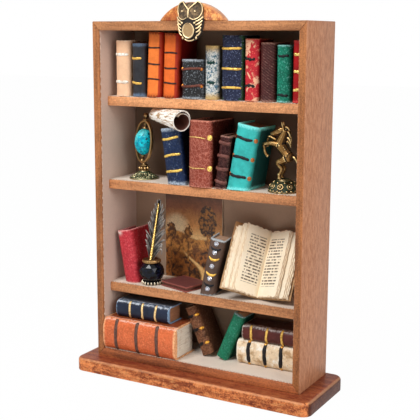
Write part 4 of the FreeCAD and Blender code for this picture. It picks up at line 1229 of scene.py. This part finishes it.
figure_low, figure_high = box_of("horse_figure")
horse_stands = Vector((*middle_of("horse_foot")[:2], figure_low.z))
HORSE_UNIT = 0.0283


def on_horse(along, aside, up):
    """A place on the horse, in thousandths of its height from the middle of its foot."""
    return horse_stands + Vector((along, aside, up)) * HORSE_UNIT


def member(*knots):
    """A limb or the trunk, through (along, aside, up, radius) knots."""
    return rod([on_horse(*knot[:3]) for knot in knots], [knot[3] * HORSE_UNIT for knot in knots], sides=4)


def lump(along, aside, up, length, width, height, tilt=0.0):
    """A muscle, joint or hoof."""
    return blob(on_horse(along, aside, up), [size * HORSE_UNIT for size in (length, width, height)],
                Matrix.Rotation(math.radians(tilt), 3, "Y").to_quaternion())


horse = [member((-100, 0, 605, 84), (-60, 0, 568, 98), (15, 0, 480, 88), (75, 0, 408, 102),
                (122, 0, 388, 78)),
         member((-78, 0, 615, 98), (-42, 0, 700, 86), (-6, 0, 782, 72), (4, 0, 846, 62)),
         member((4, 0, 850, 60), (-60, 0, 842, 70), (-140, 0, 808, 55), (-212, 0, 780, 44),
                (-258, 0, 764, 33)),
         lump(-112, 0, 615, 70, 80, 90), lump(80, 0, 396, 100, 92, 92), lump(-62, 0, 816, 56, 50, 58)]
for side in (-1, 1):
    horse += [member((-14, side * 30, 880, 24), (-30, side * 34, 936, 19), (-46, side * 36, 990, 6)),
              lump(-84, side * 56, 856, 19, 12, 16), lump(-240, side * 30, 778, 13, 9, 10),
              lump(-98, side * 48, 618, 56, 38, 62, 30), lump(66, side * 50, 368, 88, 46, 80, 35),
              member((55, side * 56, 358, 76), (-15, side * 58, 318, 68), (-80, side * 58, 285, 54),
                     (-62, side * 57, 232, 42), (-22, side * 56, 176, 35), (-40, side * 56, 114, 29),
                     (-66, side * 56, 72, 31)),
              lump(-22, side * 56, 180, 37, 32, 38), lump(-66, side * 56, 74, 37, 34, 34),
              member((-68, side * 56, 60, 26), (-63, side * 56, 28, 36), (-60, side * 56, 2, 40))]
horse += [member((-95, -52, 592, 58), (-205, -56, 612, 45), (-300, -54, 607, 37), (-364, -53, 595, 34)),
          lump(-370, -53, 593, 32, 30, 32),
          member((-368, -53, 586, 31), (-358, -53, 505, 26), (-336, -53, 430, 27), (-306, -53, 396, 30),
                 (-286, -53, 378, 32)),
          member((-95, 52, 630, 50), (-200, 55, 668, 37), (-290, 57, 704, 30), (-325, 57, 712, 30)),
          lump(-327, 57, 710, 31, 29, 31),
          member((-330, 57, 704, 26), (-358, 57, 634, 21), (-364, 57, 574, 23), (-348, 57, 536, 28))]
for strand in range(8):
    root = 900 - 36 * strand
    sway = 18 * math.sin(2.2 * strand)
    ridge = 26 + 30 * math.sin(math.pi * (900 - root) / 330)
    horse.append(member((ridge - 26, sway * 0.4, root, 19), (ridge + 26, sway, root - 8, 18),
                        (ridge + 58, sway * 1.3, root - 50, 14), (ridge + 70, sway * 1.5, root - 104, 6)))
for strand in range(4):
    sway = 15 * (strand - 1.5)
    horse.append(member((140, sway * 0.3, 402, 24), (205, sway * 0.7, 376, 25),
                        (258, sway, 300 + 6 * strand, 19),
                        (288 - 9 * strand, sway * 1.4, 215 + 12 * strand, 7)))
horse += [member((-62, -88, 590, 13), (-94, -60, 524, 13), (-122, 0, 504, 13), (-94, 60, 524, 13),
                 (-62, 88, 590, 13)),
          lump(12, -30, 550, 46, 55, 26, 52), lump(12, 30, 550, 46, 55, 26, 52),
          lump(32, -64, 516, 24, 18, 24)]
horse = cast(horse, "horse_figure_piece", 0.17, 2)
# Painted shade: the horse's right-facing surfaces are darkened too, as if turned away from the lamp.
note_hollows(horse, 3, 0.5)
move_vertices(horse, np.clip(vertices(horse), figure_low, figure_high))
dress(horse, cast_metal("cast_brass", (246, 214, 150), (132, 96, 52), (16, 10, 6), 0.24), "horse_figure")

# Inkwell: a faceted black glass bead on a beaded silver ring, with a bronze rim.
# A cast feather stands in it: dark silver barbs along a gilt, beaded shaft.
well = middle_of("inkwell_bowl")
well_height = box_of("inkwell_bowl")[1].z - well.z
levels = ((0.0, 4.4), (0.17, 5.95), (0.36, 6.8), (0.58, 6.95), (0.8, 6.1), (1.0, 4.4))
FACETS = 12
bowl = primitive("circle", vertices=FACETS, radius=levels[0][1] * MM, fill_type="NGON", location=(0, 0, 0))
with editing(bowl):
    for (low_share, low_radius), (share, radius) in zip(levels, levels[1:]):
        rise = (share - low_share) * well_height * MM
        bpy.ops.mesh.extrude_region_move(TRANSFORM_OT_translate={"value": (0, 0, rise)})
        bpy.ops.transform.resize(value=(radius / low_radius, radius / low_radius, 1.0))
        bpy.ops.transform.rotate(value=math.pi / FACETS, orient_axis="Z", center_override=(0, 0, 0))
    bpy.ops.mesh.select_all(action="SELECT")
    bpy.ops.mesh.quads_convert_to_tris(quad_method="SHORTEST_DIAGONAL")
    bpy.ops.mesh.normals_make_consistent(inside=False)
ease_edges(bowl, 0.1, 8)
smooth(bowl, 6)
finish = Finish("black_bead_glass", Specular_IOR_Level=0.22)
smear = finish.place().noise(0.5, 4.0)
tone = smear.above(0.4, 0.75).blend((4, 4, 6), (16, 22, 44))
set_down(bowl, "inkwell_bowl", finish.done(tone, 0.05 + 0.16 * smear.above(0.5, 0.8)))

teeth = join_up(spread_round(blob((5.05, 0, 1.0), (0.72, 0.52, 0.92)), 18), "inkwell_teeth")
note(teeth, "hollow", "FLOAT", np.full(len(teeth.data.vertices), -0.9))
ring = turned([(0, 0.1), (4.6, 0.1), (5.0, 0.4), (5.0, 1.6), (4.6, 1.95), (0, 1.95)], "foot_ring", 36)
note(ring, "hollow", "FLOAT", np.full(len(ring.data.vertices), 1.2))
ring = join_up([ring, teeth], "inkwell_foot_piece")
smooth(ring, 50)
set_down(ring, "inkwell_foot", cast_metal("bead_silver", (206, 194, 170), (128, 118, 100), (12, 11, 11), 0.3))

rim = turned([(0, 0.0), (4.2, 0.0), (4.9, 0.25), (5.08, 0.7), (5.08, 1.4), (4.85, 1.85), (4.3, 2.0),
              (3.5, 1.9), (3.1, 1.6), (0, 1.5)], "inkwell_rim_piece", 40)
notches = spread_round(blob((4.9, 0, 1.05), (0.26, 0.3, 0.6), segments=10, rings=6), 30)
rim = join_up([rim] + notches, "inkwell_rim_piece")
note_hollows(rim, 1)
set_down(rim, "inkwell_rim", cast_metal("rim_bronze", (190, 150, 98), (122, 92, 58), (40, 28, 18)))

QUILL_LEAN = math.radians(9.8)
quill_foot = Vector((well.x - 1.0, well.y, box_of("quill_shaft")[0].z + 0.1))
quill_stance = Matrix.Translation(quill_foot * MM) @ Matrix.Rotation(QUILL_LEAN, 4, "Y")
vane_back = box_of("quill_vane")[1].y - quill_foot.y
barbs = []
BARBS = 15
for side, broadest, droop in ((-1, 6.1, 0.2), (1, 6.9, 0.55)):
    for number in range(BARBS):
        share = number / (BARBS - 1)
        root = 0.9 + 27.6 * share
        spread = broadest * (1.0 - share) ** 0.6 * min(1.0, 0.72 + share) + 0.5
        spread = spread * (1 + 0.1 * math.sin(number * 2.4 + side))
        rise = 8.0 - 1.4 * share + 0.8 * math.sin(number * 1.7 + side)
        curl = max(0.0, 1 - share * 2.6) * droop
        knots = [(0.06, 0.0), (0.36, 0.42), (0.7, 0.78), (0.93, 1.0 - 0.25 * curl), (1.0, 1.12 - curl)]
        ply = 0.62 + 0.3 * (number % 2)
        barbs.append(rod([(side * spread * out, ply, min(root + rise * up, 34.8)) for out, up in knots],
                         (0.75, 0.8, 0.58, 0.36, 0.16)))
barbs.append(rod([(0, 0.8, 3.4), (0, 0.8, 20.0), (0, 0.8, 34.0), (0, 0.8, 35.3)], (0.7, 0.9, 1.0, 0.3)))
feather = join_up(barbs, "quill_vane_piece")
points = vertices(feather)
points[:, 1] = np.clip(points[:, 1], 0.5, vane_back)
move_vertices(feather, points)
note_hollows(feather, 1)
smooth(feather, 50)
feather.data.transform(quill_stance)
dark_silver = cast_metal("dark_silver", (150, 144, 138), (58, 54, 52), (12, 11, 11), 0.34, 0.8)
dress(feather, dark_silver, "quill_vane")

beads = []
BEADS = 36
for number in range(BEADS):
    share = number / (BEADS - 1)
    radius = 0.95 - 0.5 * share
    size = (radius, radius * 0.85, 0.6 - 0.1 * share)
    beads.append(blob((0, 0.1, 1.2 + 31.4 * share), size, segments=10, rings=6))
beads.append(rod([(0, 0.1, 0.2), (0, 0.1, 16.0), (0, 0.1, 33.0)], (0.5, 0.42, 0.2)))
shaft = join_up(beads, "quill_shaft_piece")
note_hollows(shaft, 1)
smooth(shaft, 60)
shaft.data.transform(quill_stance)
dress(shaft, cast_metal("bead_gilt", (250, 214, 128), (216, 164, 72), (96, 62, 24), 0.2), "quill_shaft")

# Picture card: a small card propped against the back wall, with a painted country scene in brown and gold.
# It is bowed a little, and its edges are bare and furred.
card_low, card_high = box_of("picture_card")
card_size = card_high - card_low
card = working_copy("picture_card")
cut_across(card, (1, 0, 0), np.arange(card_low.x + 2.0, card_high.x, 2.0))
cut_across(card, (0, 0, 1), np.arange(card_low.z + 2.5, card_high.z, 2.5))
points = vertices(card)
across = (points[:, 0] - card_low.x) / card_size.x
rise = (points[:, 2] - card_low.z) / card_size.z
front = points[:, 1] < (card_low.y + card_high.y) / 2
bow = 0.32 * (2 * across - 1) ** 2
points[:, 1] = np.where(front, card_low.y + 0.38 - bow, card_high.y - bow)
points[:, 0] += 0.12 * np.sin(rise * 21.0) * (np.abs(2 * across - 1) > 0.99)
points[:, 2] += 0.1 * (np.sin(across * 17.0 + 1.0) - 1.0) * (rise > 0.99)
move_vertices(card, points)
smooth(card, 30)

finish = Finish("painted_card")
place = finish.place()
across, up = place.split()[::2]
across = (across - card_low.x) / card_size.x
up = (up - card_low.z) / card_size.z
daub = place.noise(0.35, 5.0, 0.65, 0.8)
sky = (up + daub * 0.2 - 0.1).ramp((0.42, (250, 212, 146)), (0.6, (222, 154, 86)), (0.8, (142, 86, 52)),
                                   (1.0, (62, 42, 34)))
glow_x = across - 0.2
glow_y = (up - 0.6) * 1.7
glow = (glow_x * glow_x + glow_y * glow_y + daub * 0.05).below(0.02, 0.09)
scene = sky.mix(glow * 0.8, (255, 236, 190))
far_hill = 0.46 + (across * 7.0 + 0.5).sine() * 0.04 + daub * 0.06
near_hill = 0.30 + (across * 5.0 + 3.0).sine() * 0.06 + daub * 0.07
for hill, blur, shade, light in ((far_hill, 0.015, (112, 66, 32), (222, 152, 74)),
                                 (near_hill, 0.02, (40, 22, 14), (172, 104, 44))):
    scene = scene.mix((up - hill).below(-0.01, blur), daub.above(0.35, 0.65).blend(shade, light))
path = abs(across - 0.72 + up * 1.1 - (up * 15.0).sine() * 0.06) - 0.24 * (0.36 - up)
scene = scene.mix((path + daub * 0.06).below(0.0, 0.05) * up.below(0.26, 0.36), (240, 194, 124))
leafy = place.noise(0.55, 4.0, 0.6)
for crown_x, crown_y, size, shade in ((0.74, 0.66, 0.036, (58, 40, 28)), (0.10, 0.52, 0.010, (84, 54, 30)),
                                      (0.40, 0.52, 0.006, (96, 60, 30))):
    aside = (across - crown_x) * 1.15
    above = up - crown_y
    crown = (aside * aside + above * above + leafy * 0.03 - 0.015).below(size * 0.8, size)
    trunk = (abs(across - crown_x) + daub * 0.01).below(0.014, 0.022)
    trunk = trunk * up.below(crown_y - 0.02, crown_y) * up.above(crown_y - 0.34, crown_y - 0.32)
    scene = scene.mix(crown.most(trunk), leafy.above(0.42, 0.62).blend(shade, (186, 122, 54)))
cracks = place.cells(0.45, "DISTANCE_TO_EDGE")
scene = scene.mix(cracks.below(0.0, 0.05) * 0.35, (44, 30, 22))
bare = (0.5 - abs(across - 0.5)).least(0.5 - abs(up - 0.5)) + daub * 0.012
scene = scene.mix(bare.below(0.008, 0.014), (206, 186, 156))
dress(card, finish.done(scene, 0.38 + 0.2 * daub, (daub, 0.1), (cracks, 0.06)), "picture_card")

# Scroll: a sheet of parchment rolled up tight at one end, laid on the blue book and against the shelf above.
# Its rim is torn, its layers show as lines, and the last turn stands loose inside.
HEADING = math.radians(62)
DIP = math.radians(3)
SCROLL_TURNS = 2.3
SCROLL_START = 2.6
SCROLL_LENGTH = 31.0
LOOSE = 0.42
NARROW, WIDE = 2.95, 5.32
TURN_NOTE = 12.0
outward = Vector((math.sin(HEADING) * math.cos(DIP), -math.cos(HEADING) * math.cos(DIP), -math.sin(DIP)))
rolled = vertices(frame["nodes"]["parchment_scroll"])
along = rolled @ np.array(outward)
tail = rolled[along < along.min() + 0.05].mean(axis=0)
scroll = primitive("grid", x_subdivisions=46, y_subdivisions=150, size=2.0)
spot = np.array([vertex.co for vertex in scroll.data.vertices])
length = (spot[:, 0] + 1) / 2
turn = (spot[:, 1] + 1) / 2 * SCROLL_TURNS
tear = 0.55 + 0.35 * np.sin(turn * 9.0) + 0.25 * np.sin(turn * 23.0 + 1.0)
reach = SCROLL_START + length * (SCROLL_LENGTH - SCROLL_START - tear * 1.3) + 0.6 * tear
outer = NARROW + (WIDE - NARROW) * reach / SCROLL_LENGTH
slack = np.clip(turn - SCROLL_TURNS + LOOSE, 0.0, LOOSE) / LOOSE
radius = outer - 0.34 * turn - 1.5 * slack * (outer / 5.4) + 0.07 * np.sin(reach * 1.3 + turn * 7.0)
swing = 2 * math.pi * turn + 0.5
aim = np.array(outward.to_track_quat("Z", "Y").to_matrix())
ring_points = np.column_stack((radius * np.cos(swing), radius * np.sin(swing), reach))
move_vertices(scroll, ring_points @ aim.T + tail)
to_rim = np.minimum(reach, SCROLL_LENGTH - reach)
note(scroll, "sheet", "FLOAT_VECTOR", np.column_stack((turn * TURN_NOTE, reach, to_rim)))
apply(scroll, "SOLIDIFY", thickness=0.24 * MM, offset=0.0)
with editing(scroll):
    bpy.ops.mesh.normals_make_consistent(inside=False)
smooth(scroll, 50)
scroll.name = "parchment_scroll_piece"
finish = Finish("parchment")
at = finish.attribute("sheet")
round_at, rim = at.split()[::2]
fibre = at.stretch(2.6, 0.2, 0.0).noise(0.9, 4.0, 0.6, 0.6)
stain = finish.place().noise(0.22, 4.0, 0.6)
colour = fibre.above(0.38, 0.54).blend((176, 138, 96), (255, 251, 242))
colour = colour.mix(stain.above(0.5, 0.75) * 0.3, (214, 176, 124))
lip = (rim + stain * 0.6).below(0.5, 1.3)
colour = colour.mix(lip * 0.9, (255, 250, 240))
# Painted shade: the inner turns are painted dark brown, as shade inside the roll, except near the rim.
painted_shade_inside = round_at.above(TURN_NOTE * (SCROLL_TURNS - 1.0), TURN_NOTE * (SCROLL_TURNS - 0.85))
colour = colour.mix(painted_shade_inside * (1.0 - lip * 0.8), (92, 48, 34))
# The loose end of the last turn is painted back to pale paper, out of that shade.
last = TURN_NOTE * SCROLL_TURNS
colour = colour.mix((round_at + stain * 0.8).above(last - 2.2, last - 1.4), (236, 214, 190))
dress(scroll, finish.done(colour, 0.8, (fibre, 0.15), (stain, 0.2)), "parchment_scroll")

# Open book: leaves of soft cream paper sewn in a tan cover, reclining against the back wall.
# The leaves lie in gatherings that fan out, torn along every edge, with faint broken lines on the top ones.
COVER_CUTS = np.arange(50.0, 88.0, 2.5)
cover = working_copy("open_book_cover")
ease_edges(cover, 0.2)
cut_across(cover, (0, 0, 1), COVER_CUTS)
crumple(cover, 0.2)
note(cover, "bound", "FLOAT_VECTOR", vertices(cover))
note(cover, "wear", "FLOAT_VECTOR", np.full((len(cover.data.vertices), 3), 3.0))
smooth(cover, 50)
calf = leather("open_cover_calf", (206, 164, 116), (236, 206, 164), (170, 124, 80), fleck=0.5)
dress(cover, calf, "open_book_cover")

SPREAD, TURN, LEAN, RECLINE = (math.radians(angle) for angle in (37, 12, 6, -30))
tilt = np.array(Matrix.Rotation(TURN, 3, "Z") @ Matrix.Rotation(LEAN, 3, "Y")
                @ Matrix.Rotation(RECLINE, 3, "X"))
inner = vertices(frame["nodes"]["open_book_left_leaves"]) @ tilt
at_gutter = inner[inner[:, 0] > inner[:, 0].max() - 0.02]
gutter = np.array((inner[:, 0].max(), at_gutter[:, 1].min(), inner[:, 2].min()))


def gathering(side, number, first, last, top, seed):
    """One gathering of leaves on one side of the gutter, from one fore edge, as a sheet with torn edges."""
    sheet = primitive("grid", x_subdivisions=20, y_subdivisions=30, size=2.0)
    spot = np.array([vertex.co for vertex in sheet.data.vertices])
    wide = (spot[:, 0] + 1) / 2
    high = (spot[:, 1] + 1) / 2
    fore = first + 0.14 * np.sin(high * 31 + seed) + 0.11 * np.sin(high * 67 + 2.3 * seed)
    fore = fore + 0.07 * np.sin(high * 121 + seed)
    crest = top + 0.28 * np.sin(wide * 14 + seed * 1.7) + 0.2 * np.sin(wide * 33 + seed)
    base = 0.45 + 0.3 * np.sin(wide * 17 + seed * 2.9) + 0.2 * np.sin(wide * 41 + seed)
    page = wide * fore
    up = base + high * (crest - base)
    sink = 0.6 * np.exp(-page / 1.2) * (1 - number / 9)
    lift = 0.35 * np.sin(np.pi * np.clip(wide, 0, 1)) * (1 - number / 8)
    depth = last * (0.28 + 0.72 * page / first) + sink - lift * 0.6 + 0.05 * np.sin(high * 9 + seed)
    depth = np.maximum(depth, 0.05)
    along = np.array((side * math.cos(SPREAD), -math.sin(SPREAD), 0.0))
    behind = np.array((side * math.sin(SPREAD), math.cos(SPREAD), 0.0))
    points = page[:, None] * along + depth[:, None] * behind + up[:, None] * (0, 0, 1.0) + gutter
    move_vertices(sheet, points @ tilt.T)
    note(sheet, "leaf", "FLOAT_VECTOR", np.column_stack((page, up, np.full(len(page), float(number)))))
    note(sheet, "torn", "FLOAT", np.minimum(np.minimum(fore - page, crest - up), up - base))
    apply(sheet, "SOLIDIFY", thickness=0.46 * MM, offset=float(side))
    with editing(sheet):
        bpy.ops.mesh.normals_make_consistent(inside=False)
    return sheet


LINE = 1.6
LINES_FROM, LINES_TO = 6.0, 31.0


def page_paper(name, margin, reach):
    """Cream paper: browned torn edges, specks, and broken ruled lines inside the margins of the top leaf."""
    finish = Finish(name)
    page, up, number = finish.attribute("leaf").split()
    place = finish.place()
    fibre = place.noise(0.7, 5.0, 0.65)
    cloud = place.noise(0.1, 3.0)
    colour = (fibre * 0.5 + cloud * 0.6 - 0.1).blend((242, 218, 180), (255, 248, 230))
    edge = (finish.attribute("torn", "Fac") + fibre * 0.8 - 0.4).below(0.0, 0.3)
    colour = colour.mix(edge * 0.42, (186, 140, 90))
    row = abs((up / LINE).rest(1.0) - 0.5)
    spot = finish.node("ShaderNodeCombineXYZ", {}, {0: page * 0.9, 1: (up / LINE).floor() * 7.3})
    breaks = spot.noise(1.0, 3.0, 0.7)
    ink = (row + fibre * 0.12).below(0.22, 0.36) * breaks.above(0.45, 0.5)
    block = page.above(margin, margin + 0.3) * (page + breaks * 2.0).below(reach, reach + 0.4)
    block = block * up.above(LINES_FROM - 0.5, LINES_FROM) * up.below(LINES_TO, LINES_TO + 0.5)
    block = block * number.below(0.2, 0.6)
    colour = colour.mix(ink * block * 0.95, (70, 44, 28))
    colour = colour.mix(place.noise(2.2, 2.0).above(0.71, 0.76) * 0.4, (120, 86, 54))
    return finish.done(colour, 0.85, (fibre, 0.12))


left_edges = [(13.6, 35.8, 0.1), (14.0, 36.0, 0.6), (15.6, 35.7, 1.5), (15.9, 35.3, 2.0), (17.8, 33.8, 3.1),
              (18.2, 33.4, 3.6), (18.5, 33.0, 4.1)]
right_edges = [(14.2, 35.3, 0.1), (14.6, 35.8, 0.6), (15.0, 35.4, 1.1), (17.4, 35.0, 2.4), (18.0, 34.8, 2.9),
               (18.6, 34.6, 3.5), (19.0, 34.0, 4.1)]
for side, edges, node, margin, reach in ((-1, left_edges, "open_book_left_leaves", 1.7, 12.0),
                                         (1, right_edges, "open_book_right_leaves", 1.4, 12.6)):
    sheets = []
    for number, (fore, top, depth) in enumerate(edges):
        sheets.append(gathering(side, number, fore, depth, top, 1.3 * number + side))
    leaves = join_up(sheets, node + "_piece")
    smooth(leaves, 40)
    dress(leaves, page_paper(node + "_paper", margin, reach), node)

# Studio: a white floor and sky as the camera, metal and glass see them, and a dim sky as the rest sees it.
# A large lamp stands in front, above and to the left, and a weaker one far on the right.
def show_white(tree, plain, bright, surface, share):
    """Lets the camera, metal and glass see white in place of a share of the plain surface."""
    def wired(kind, first, *rest, **settings):
        node = tree.nodes.new(kind)
        for name, value in settings.items():
            setattr(node, name, value)
        for socket, source in zip(node.inputs, (first, *rest)):
            tree.links.new(source, socket)
        return node

    path = tree.nodes.new("ShaderNodeLightPath").outputs
    seen = path["Is Camera Ray"]
    for ray in ("Is Glossy Ray", "Is Transmission Ray"):
        seen = wired("ShaderNodeMath", seen, path[ray], operation="MAXIMUM").outputs[0]
    part = wired("ShaderNodeMath", seen, operation="MULTIPLY")
    part.inputs[1].default_value = share
    choice = wired("ShaderNodeMixShader", part.outputs[0], plain.outputs[0], bright.outputs[0])
    tree.links.new(choice.outputs[0], surface)


def shining(node, strength):
    """Makes a node shine white."""
    node.inputs["Color"].default_value = (1.0, 1.0, 1.0, 1.0)
    node.inputs["Strength"].default_value = strength
    return node


floor = primitive("plane", size=6.0, location=(0, 0, 0))
floor.name = "studio_floor"
finish = Finish("studio_white")
floor.data.materials.append(finish.done((247, 247, 247), 0.9))
lit = shining(finish.tree.nodes.new("ShaderNodeEmission"), 1.0)
show_white(finish.tree, finish.shader, lit, finish.tree.nodes["Material Output"].inputs["Surface"], 0.985)

world = bpy.data.worlds.new("studio_sky")
bpy.context.scene.world = world
world.use_nodes = True
sky_nodes = world.node_tree.nodes
dim = shining(sky_nodes["Background"], 0.22)
white = shining(sky_nodes.new("ShaderNodeBackground"), 1.0)
show_white(world.node_tree, dim, white, sky_nodes["World Output"].inputs["Surface"], 1.0)


def lamp(name, place, aim, size, power):
    """A square soft lamp at a place, aimed at a point."""
    light = bpy.data.lights.new(name, "AREA")
    light.size = size
    light.energy = power
    holder = add(name, light)
    holder.location = place
    holder.rotation_euler = (Vector(aim) - Vector(place)).to_track_quat("-Z", "Y").to_euler()


lamp("front_lamp", (-0.14, -0.5, 0.70), (0, 0, 0.1), 0.3, 5.0)
lamp("right_lamp", (0.9, -0.3, 0.45), (0, 0, 0.1), 0.6, 5.0)

# Camera: at the photograph's place, read off the case's edges.
# It looks a little down at the case from its right, and is hardly rolled.
CAMERA_PLACE = Vector((0.23436, -0.41688, 0.1800))
YAW, PITCH, ROLL = (math.radians(angle) for angle in (29.12, 10.455, 0.23))
view = bpy.data.cameras.new("camera")
view.lens = 80.56
view.sensor_width = 36.0
camera = add("camera", view)
ahead = Vector((-math.sin(YAW) * math.cos(PITCH), math.cos(YAW) * math.cos(PITCH), -math.sin(PITCH)))
level = Vector((math.cos(YAW), math.sin(YAW), 0.0))
above = level.cross(ahead)
right = math.cos(ROLL) * level + math.sin(ROLL) * above
up = -math.sin(ROLL) * level + math.cos(ROLL) * above
camera.matrix_world = Matrix((right, up, -ahead)).transposed().to_4x4()
camera.location = CAMERA_PLACE
bpy.context.scene.camera = camera
bpy.context.scene.view_settings.view_transform = "Standard"
